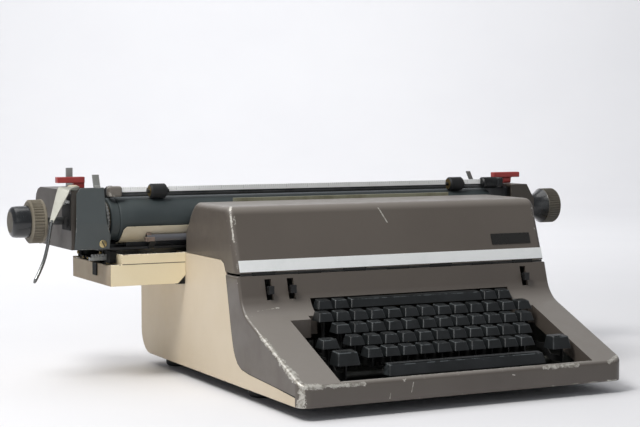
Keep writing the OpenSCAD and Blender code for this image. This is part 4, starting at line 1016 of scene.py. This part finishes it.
def makeBail():
    y, z = bailLook["y"], bailLook["z"]
    strip, rails, middle = blankMesh(), blankMesh(), blankMesh()
    bailStrip(strip, bailLook["strip"], 0.25)
    for rail in bailLook["rails"]:
        bailStrip(rails, rail, 0.4)
    bailStrip(middle, bailLook["channel"], 0.3)
    finishes["bailScale"] = scaleFinish()
    newPiece("bailScaleStrip", strip, "bail", "bailScale")
    newPiece("bailChannel", middle, "bail", "bailMetal")
    r = bailLook["rod"]
    for x0, x1 in bailLook["rodEnds"]:
        profile = [(x0, 0.4), (x0, r - 0.4), (x0 + 0.4, r), (x1 - 0.4, r), (x1, r - 0.4), (x1, 0.4)]
        joinMesh(rails, lathe(profile, onCarriage(0, y, z), 24))
    x, depth = bailLook["arms"]
    for side in bothSides:  # the arms come from the CAD bail, cut off beside the blocks
        arm = cadMesh("paper_bail")
        for spot, normal in (((side * x, 0, 0), (-side, 0, 0)), ((0, depth, 0), (0, -1, 0))):
            cutAway(arm, onCarriage(*spot), normal)
            bmesh.ops.holes_fill(arm, edges=arm.edges)
        roundEdges(arm, 0.5, 2, 50)
        joinMesh(rails, arm)
    newPiece("bailRods", rails, "bail", "darkSteel", ["paper_bail"])
    makeBailEnds()
    x, half, r = bailLook["rollers"]
    profile = [(-half, 2.4), (-half, r - 1.6), (-half + 0.2, r - 1.2), (-half + 1.6, r), (half - 1.6, r),
               (half - 0.2, r - 1.2), (half, r - 1.6), (half, 2.4)]
    rollers = blankMesh()
    for side in bothSides:
        spot = onCarriage(side * x, y, z)
        roll = lathe(profile, spot, 40)
        markFaces(roll.faces, lambda middle: abs(abs((middle - spot).x) - half * mm) < sameSpot)
        joinMesh(rollers, roll)
    looks = ["blackRubber", "agedBrass"]
    newPiece("bailRollersTurned", rollers, "bail_rollers", looks, ["bail_rollers"])


# return lever: a flat tapered blade and a bright bent rod
leverLook = {
    "hub": (-273.5, 283, 200.4), "sheet": 1.9, "radius": 1.75, "tip": 0.6, "rodUp": (0.5, -0.8, 0.2),
    "blade": [(-273.5, 283, 200.8), (-279.5, 279.2, 200.8), (-284.4, 276, 200.2), (-287, 274.2, 197),
              (-294.8, 268.8, 182.5), (-302.4, 263.4, 168.2)],
    "width": [12.6, 12.8, 12.6, 12, 8, 3.8],
    "face": [(0, 0, 1), (0, 0, 1), (-0.2, -0.4, 0.8), (-0.35, -0.85, 0.45), (-0.4, -0.9, 0.3),
             (-0.4, -0.9, 0.3)],
    "section": [(0.5, -0.3), (0.5, 0.3), (0.47, 0.5), (-0.47, 0.5), (-0.5, 0.3), (-0.5, -0.3), (-0.47, -0.5),
                (0.47, -0.5)],
    "rod": [(-301.6, 264, 169.8), (-303.6, 262.4, 163.5), (-305.6, 261, 155), (-307.4, 260, 146),
            (-312, 257.6, 131.5), (-318, 254.4, 120), (-324.4, 251, 110)],
    "boss": [(-2.1, 2.6), (-2.1, 6), (-1.7, 6.5), (1.6, 6.5), (2.0, 6.1), (2.0, 2.6)],
    "cap": [(1.6, 2), (1.6, 5), (2.4, 5), (3.0, 4.3), (3.3, 3), (3.4, 0.4)],
}


def makeReturnLever():
    steps, hub = 3, onCarriage(*leverLook["hub"])
    path = curvePoints([onCarriage(*p) for p in leverLook["blade"]], steps)
    faces = curvePoints([Vector(p) for p in leverLook["face"]], steps)
    widths = curvePoints([Vector((w, leverLook["sheet"], 0)) for w in leverLook["width"]], steps)
    bm = sweep(path, leverLook["section"], faces, [(w.x, w.y) for w in widths])
    joinMesh(bm, lathe(leverLook["boss"], hub, 40, "Z"))
    newPiece("returnLeverBlade", bm, "return_lever", "bladeMetal", ["return_lever"], 30)
    ring = [(math.cos(math.radians(30 * i)), math.sin(math.radians(30 * i))) for i in range(12)]
    path = curvePoints([onCarriage(*p) for p in leverLook["rod"]], 5)
    last = len(path) - 1
    sizes = [(leverLook["radius"] * (leverLook["tip"] if i == last else 1),) * 2 for i in range(len(path))]
    rod = sweep(path, ring, [Vector(leverLook["rodUp"])] * len(path), sizes)
    newPiece("returnLeverRod", rod, "return_lever", "rodChrome")
    cap = lathe(leverLook["cap"], hub, 40, "Z")
    newPiece("leverHubCap", cap, "return_lever", "creamPaint")


# small levers and the carriage body
smallLook = {"round": 0.9, "segments": 3}
tabLook = {"round": 0.5, "segments": 2}
bedLook = {"round": 0.5, "segments": 2, "angle": 50}
deflectorLook = {"cuts": (((-223.6, 146), (-221.8, 157)), ((-221.8, 157), (-218.2, 160.6))),
                 "foot": (291, 143.4), "footHalf": 1.3}
barLook = {"axis": (278.3, 148), "radius": 3.8, "half": 198,
           "bracket": (((-199, 274.2, 144.5), (-189, 279, 149)), ((-197, 276, 147), (-192, 281, 153.4)))}


def makeSmallLevers():
    for side in ("left", "right"):
        softened("carriage_release_" + side, smallLook, "redPlastic")
    for node in ("paper_release_lever", "line_space_selector"):
        softened(node, tabLook, "leverChrome")


def makeCarriageBody():
    def onBar(middle):  # the round front bar is a paler grey
        p = middle - onCarriage(0, *barLook["axis"])
        return math.hypot(p.y, p.z) < barLook["radius"] * mm and abs(p.x) < barLook["half"] * mm
    bed = softened("carriage_bed", bedLook, ["blackPaint", "barGrey"])
    markFaces(bed.data.polygons, onBar)
    softened("paper_table", bedLook, "blackPaint")


def makeDeflector():
    def onFoot(middle):
        p = middle - onCarriage(0, *deflectorLook["foot"])
        return abs(p.y) < deflectorLook["footHalf"] * mm and p.z < 0
    bm = cadMesh("paper_deflector")
    for (x0, z0), (x1, z1) in deflectorLook["cuts"]:
        cutAway(bm, onCarriage(x0, 0, z0), Vector((-(z1 - z0), 0, x1 - x0)).normalized())
        bmesh.ops.holes_fill(bm, edges=bm.edges)
    roundEdges(bm, 0.3, 2, 50)
    markFaces(bm.faces, onFoot)
    looks = ["creamPaint", "blackPaint"]
    newPiece("deflectorSheet", bm, "carriage", looks, ["paper_deflector"])


def makeBarBracket():
    bracket = blankMesh()
    for corners in barLook["bracket"]:
        joinMesh(bracket, carriageBox(corners, 0.6))
    newPiece("frontBarBracket", bracket, "carriage", "bracketMetal")


makeBail()
makeReturnLever()
makeSmallLevers()
makeCarriageBody()
makeDeflector()
makeBarBracket()
print("bail, levers and carriage body made")

# trim, plate and scale
trimLook = {"round": 0.25, "segments": 2}
namePlateLook = {"round": 0.35, "segments": 2}
lineScaleLook = {"round": 0.3, "segments": 2}


def makeTrim():
    softened("trim_strip", trimLook, "trimAluminium")
    softened("name_plate", namePlateLook, "plateEnamel")
    softened("line_scale", lineScaleLook, "scaleMetal")


# parts inside the machine keep their CAD shape
insideFinish = {
    "dullSteel": ("machine_frame", "carriage_rail", "fulcrum_shaft", "key_comb", "type_segment", "typebars",
                  "centre_typebar", "ribbon_vibrator", "mainspring_drum"),
    "darkSteel": ("cover_hinge_rod", "front_letter_levers", "home_levers", "upper_letter_levers",
                  "number_levers", "shift_levers"),
    "agedBrass": ("margin_bell",),
    "spoolMetal": ("ribbon_spool_left", "ribbon_spool_right"),
    "blackRubber": ("feed_roller",),
}


def finishInside():
    for finish, nodes in insideFinish.items():
        for node in nodes:
            frame["nodes"][node].data.materials.clear()
            frame["nodes"][node].data.materials.append(finishes[finish])


makeTrim()
finishInside()
print("trim and inner parts finished")

# the studio
studio = {"floor": ("#e7e7e9", "#e1e1e4"), "rough": 0.75, "half": 8, "reach": 6.0, "behind": 2.6, "bend": 1.4,
          "rise": 5.0, "steps": 12, "sky": (0.94, 0.96, 1, 1), "skyStrength": 0.3}
lamps = [  # name, place, aim, size, watts, tint
    ("keyLamp", (-0.95, -0.4, 1.45), (0, 0, 0.1), 0.62, 19, (1, 0.985, 0.96)),
    ("fillLamp", (-0.9, -2.6, 1.0), (0, 0, 0.1), 2.0, 5, (0.96, 0.98, 1)),
    ("topLamp", (-0.7, 0.7, 2.5), (0, 0, 0), 2.4, 28, (1, 1, 1)),
    ("backLamp", (0.5, 1.4, 2.6), (0.6, 4.0, 1.2), 2.4, 74, (1, 1, 1)),
]


def makeStudio():
    material, tree, shader, coord = newMaterial("studioPaper", studio["rough"])
    feed(tree, shader, "Base Color", blendColour(tree, noise(tree, coord, 3, 3), *studio["floor"]))
    bm = bmesh.new()
    path = [(-studio["reach"], 0.0), (studio["behind"], 0.0)]
    for i in range(1, studio["steps"] + 1):
        a = math.radians(90 * i / studio["steps"])
        path.append((studio["behind"] + studio["bend"] * math.sin(a), studio["bend"] * (1 - math.cos(a))))
    path.append((studio["behind"] + studio["bend"], studio["rise"]))
    rows = [[bm.verts.new((x, y, z)) for x in (-studio["half"], studio["half"])] for y, z in path]
    for low, high in zip(rows, rows[1:]):
        bm.faces.new((low[0], low[1], high[1], high[0])).smooth = True
    mesh = bpy.data.meshes.new("studioSweep")
    bm.to_mesh(mesh)
    bm.free()
    mesh.materials.append(material)
    sweepPiece = addObject("studioSweep", mesh)
    sweepPiece.rotation_euler = Euler((0, 0, -math.radians(view["turn"])))


def makeLights():
    for name, place, aim, size, watts, tint in lamps:
        data = bpy.data.lights.new(name, "AREA")
        data.shape = "DISK"
        data.size = size
        data.energy = watts
        data.color = tint
        lamp = addObject(name, data)
        lamp.location = place
        lamp.rotation_euler = (Vector(aim) - Vector(place)).to_track_quat("-Z", "Y").to_euler()
    world = bpy.data.worlds.new("studioWorld")
    bpy.context.scene.world = world
    world.use_nodes = True
    sky = world.node_tree.nodes["Background"]
    sky.inputs["Color"].default_value = studio["sky"]
    sky.inputs["Strength"].default_value = studio["skyStrength"]
    bpy.context.scene.view_settings.view_transform = "Standard"
    bpy.context.scene.view_settings.look = "None"


makeStudio()
makeLights()
print("studio lit")
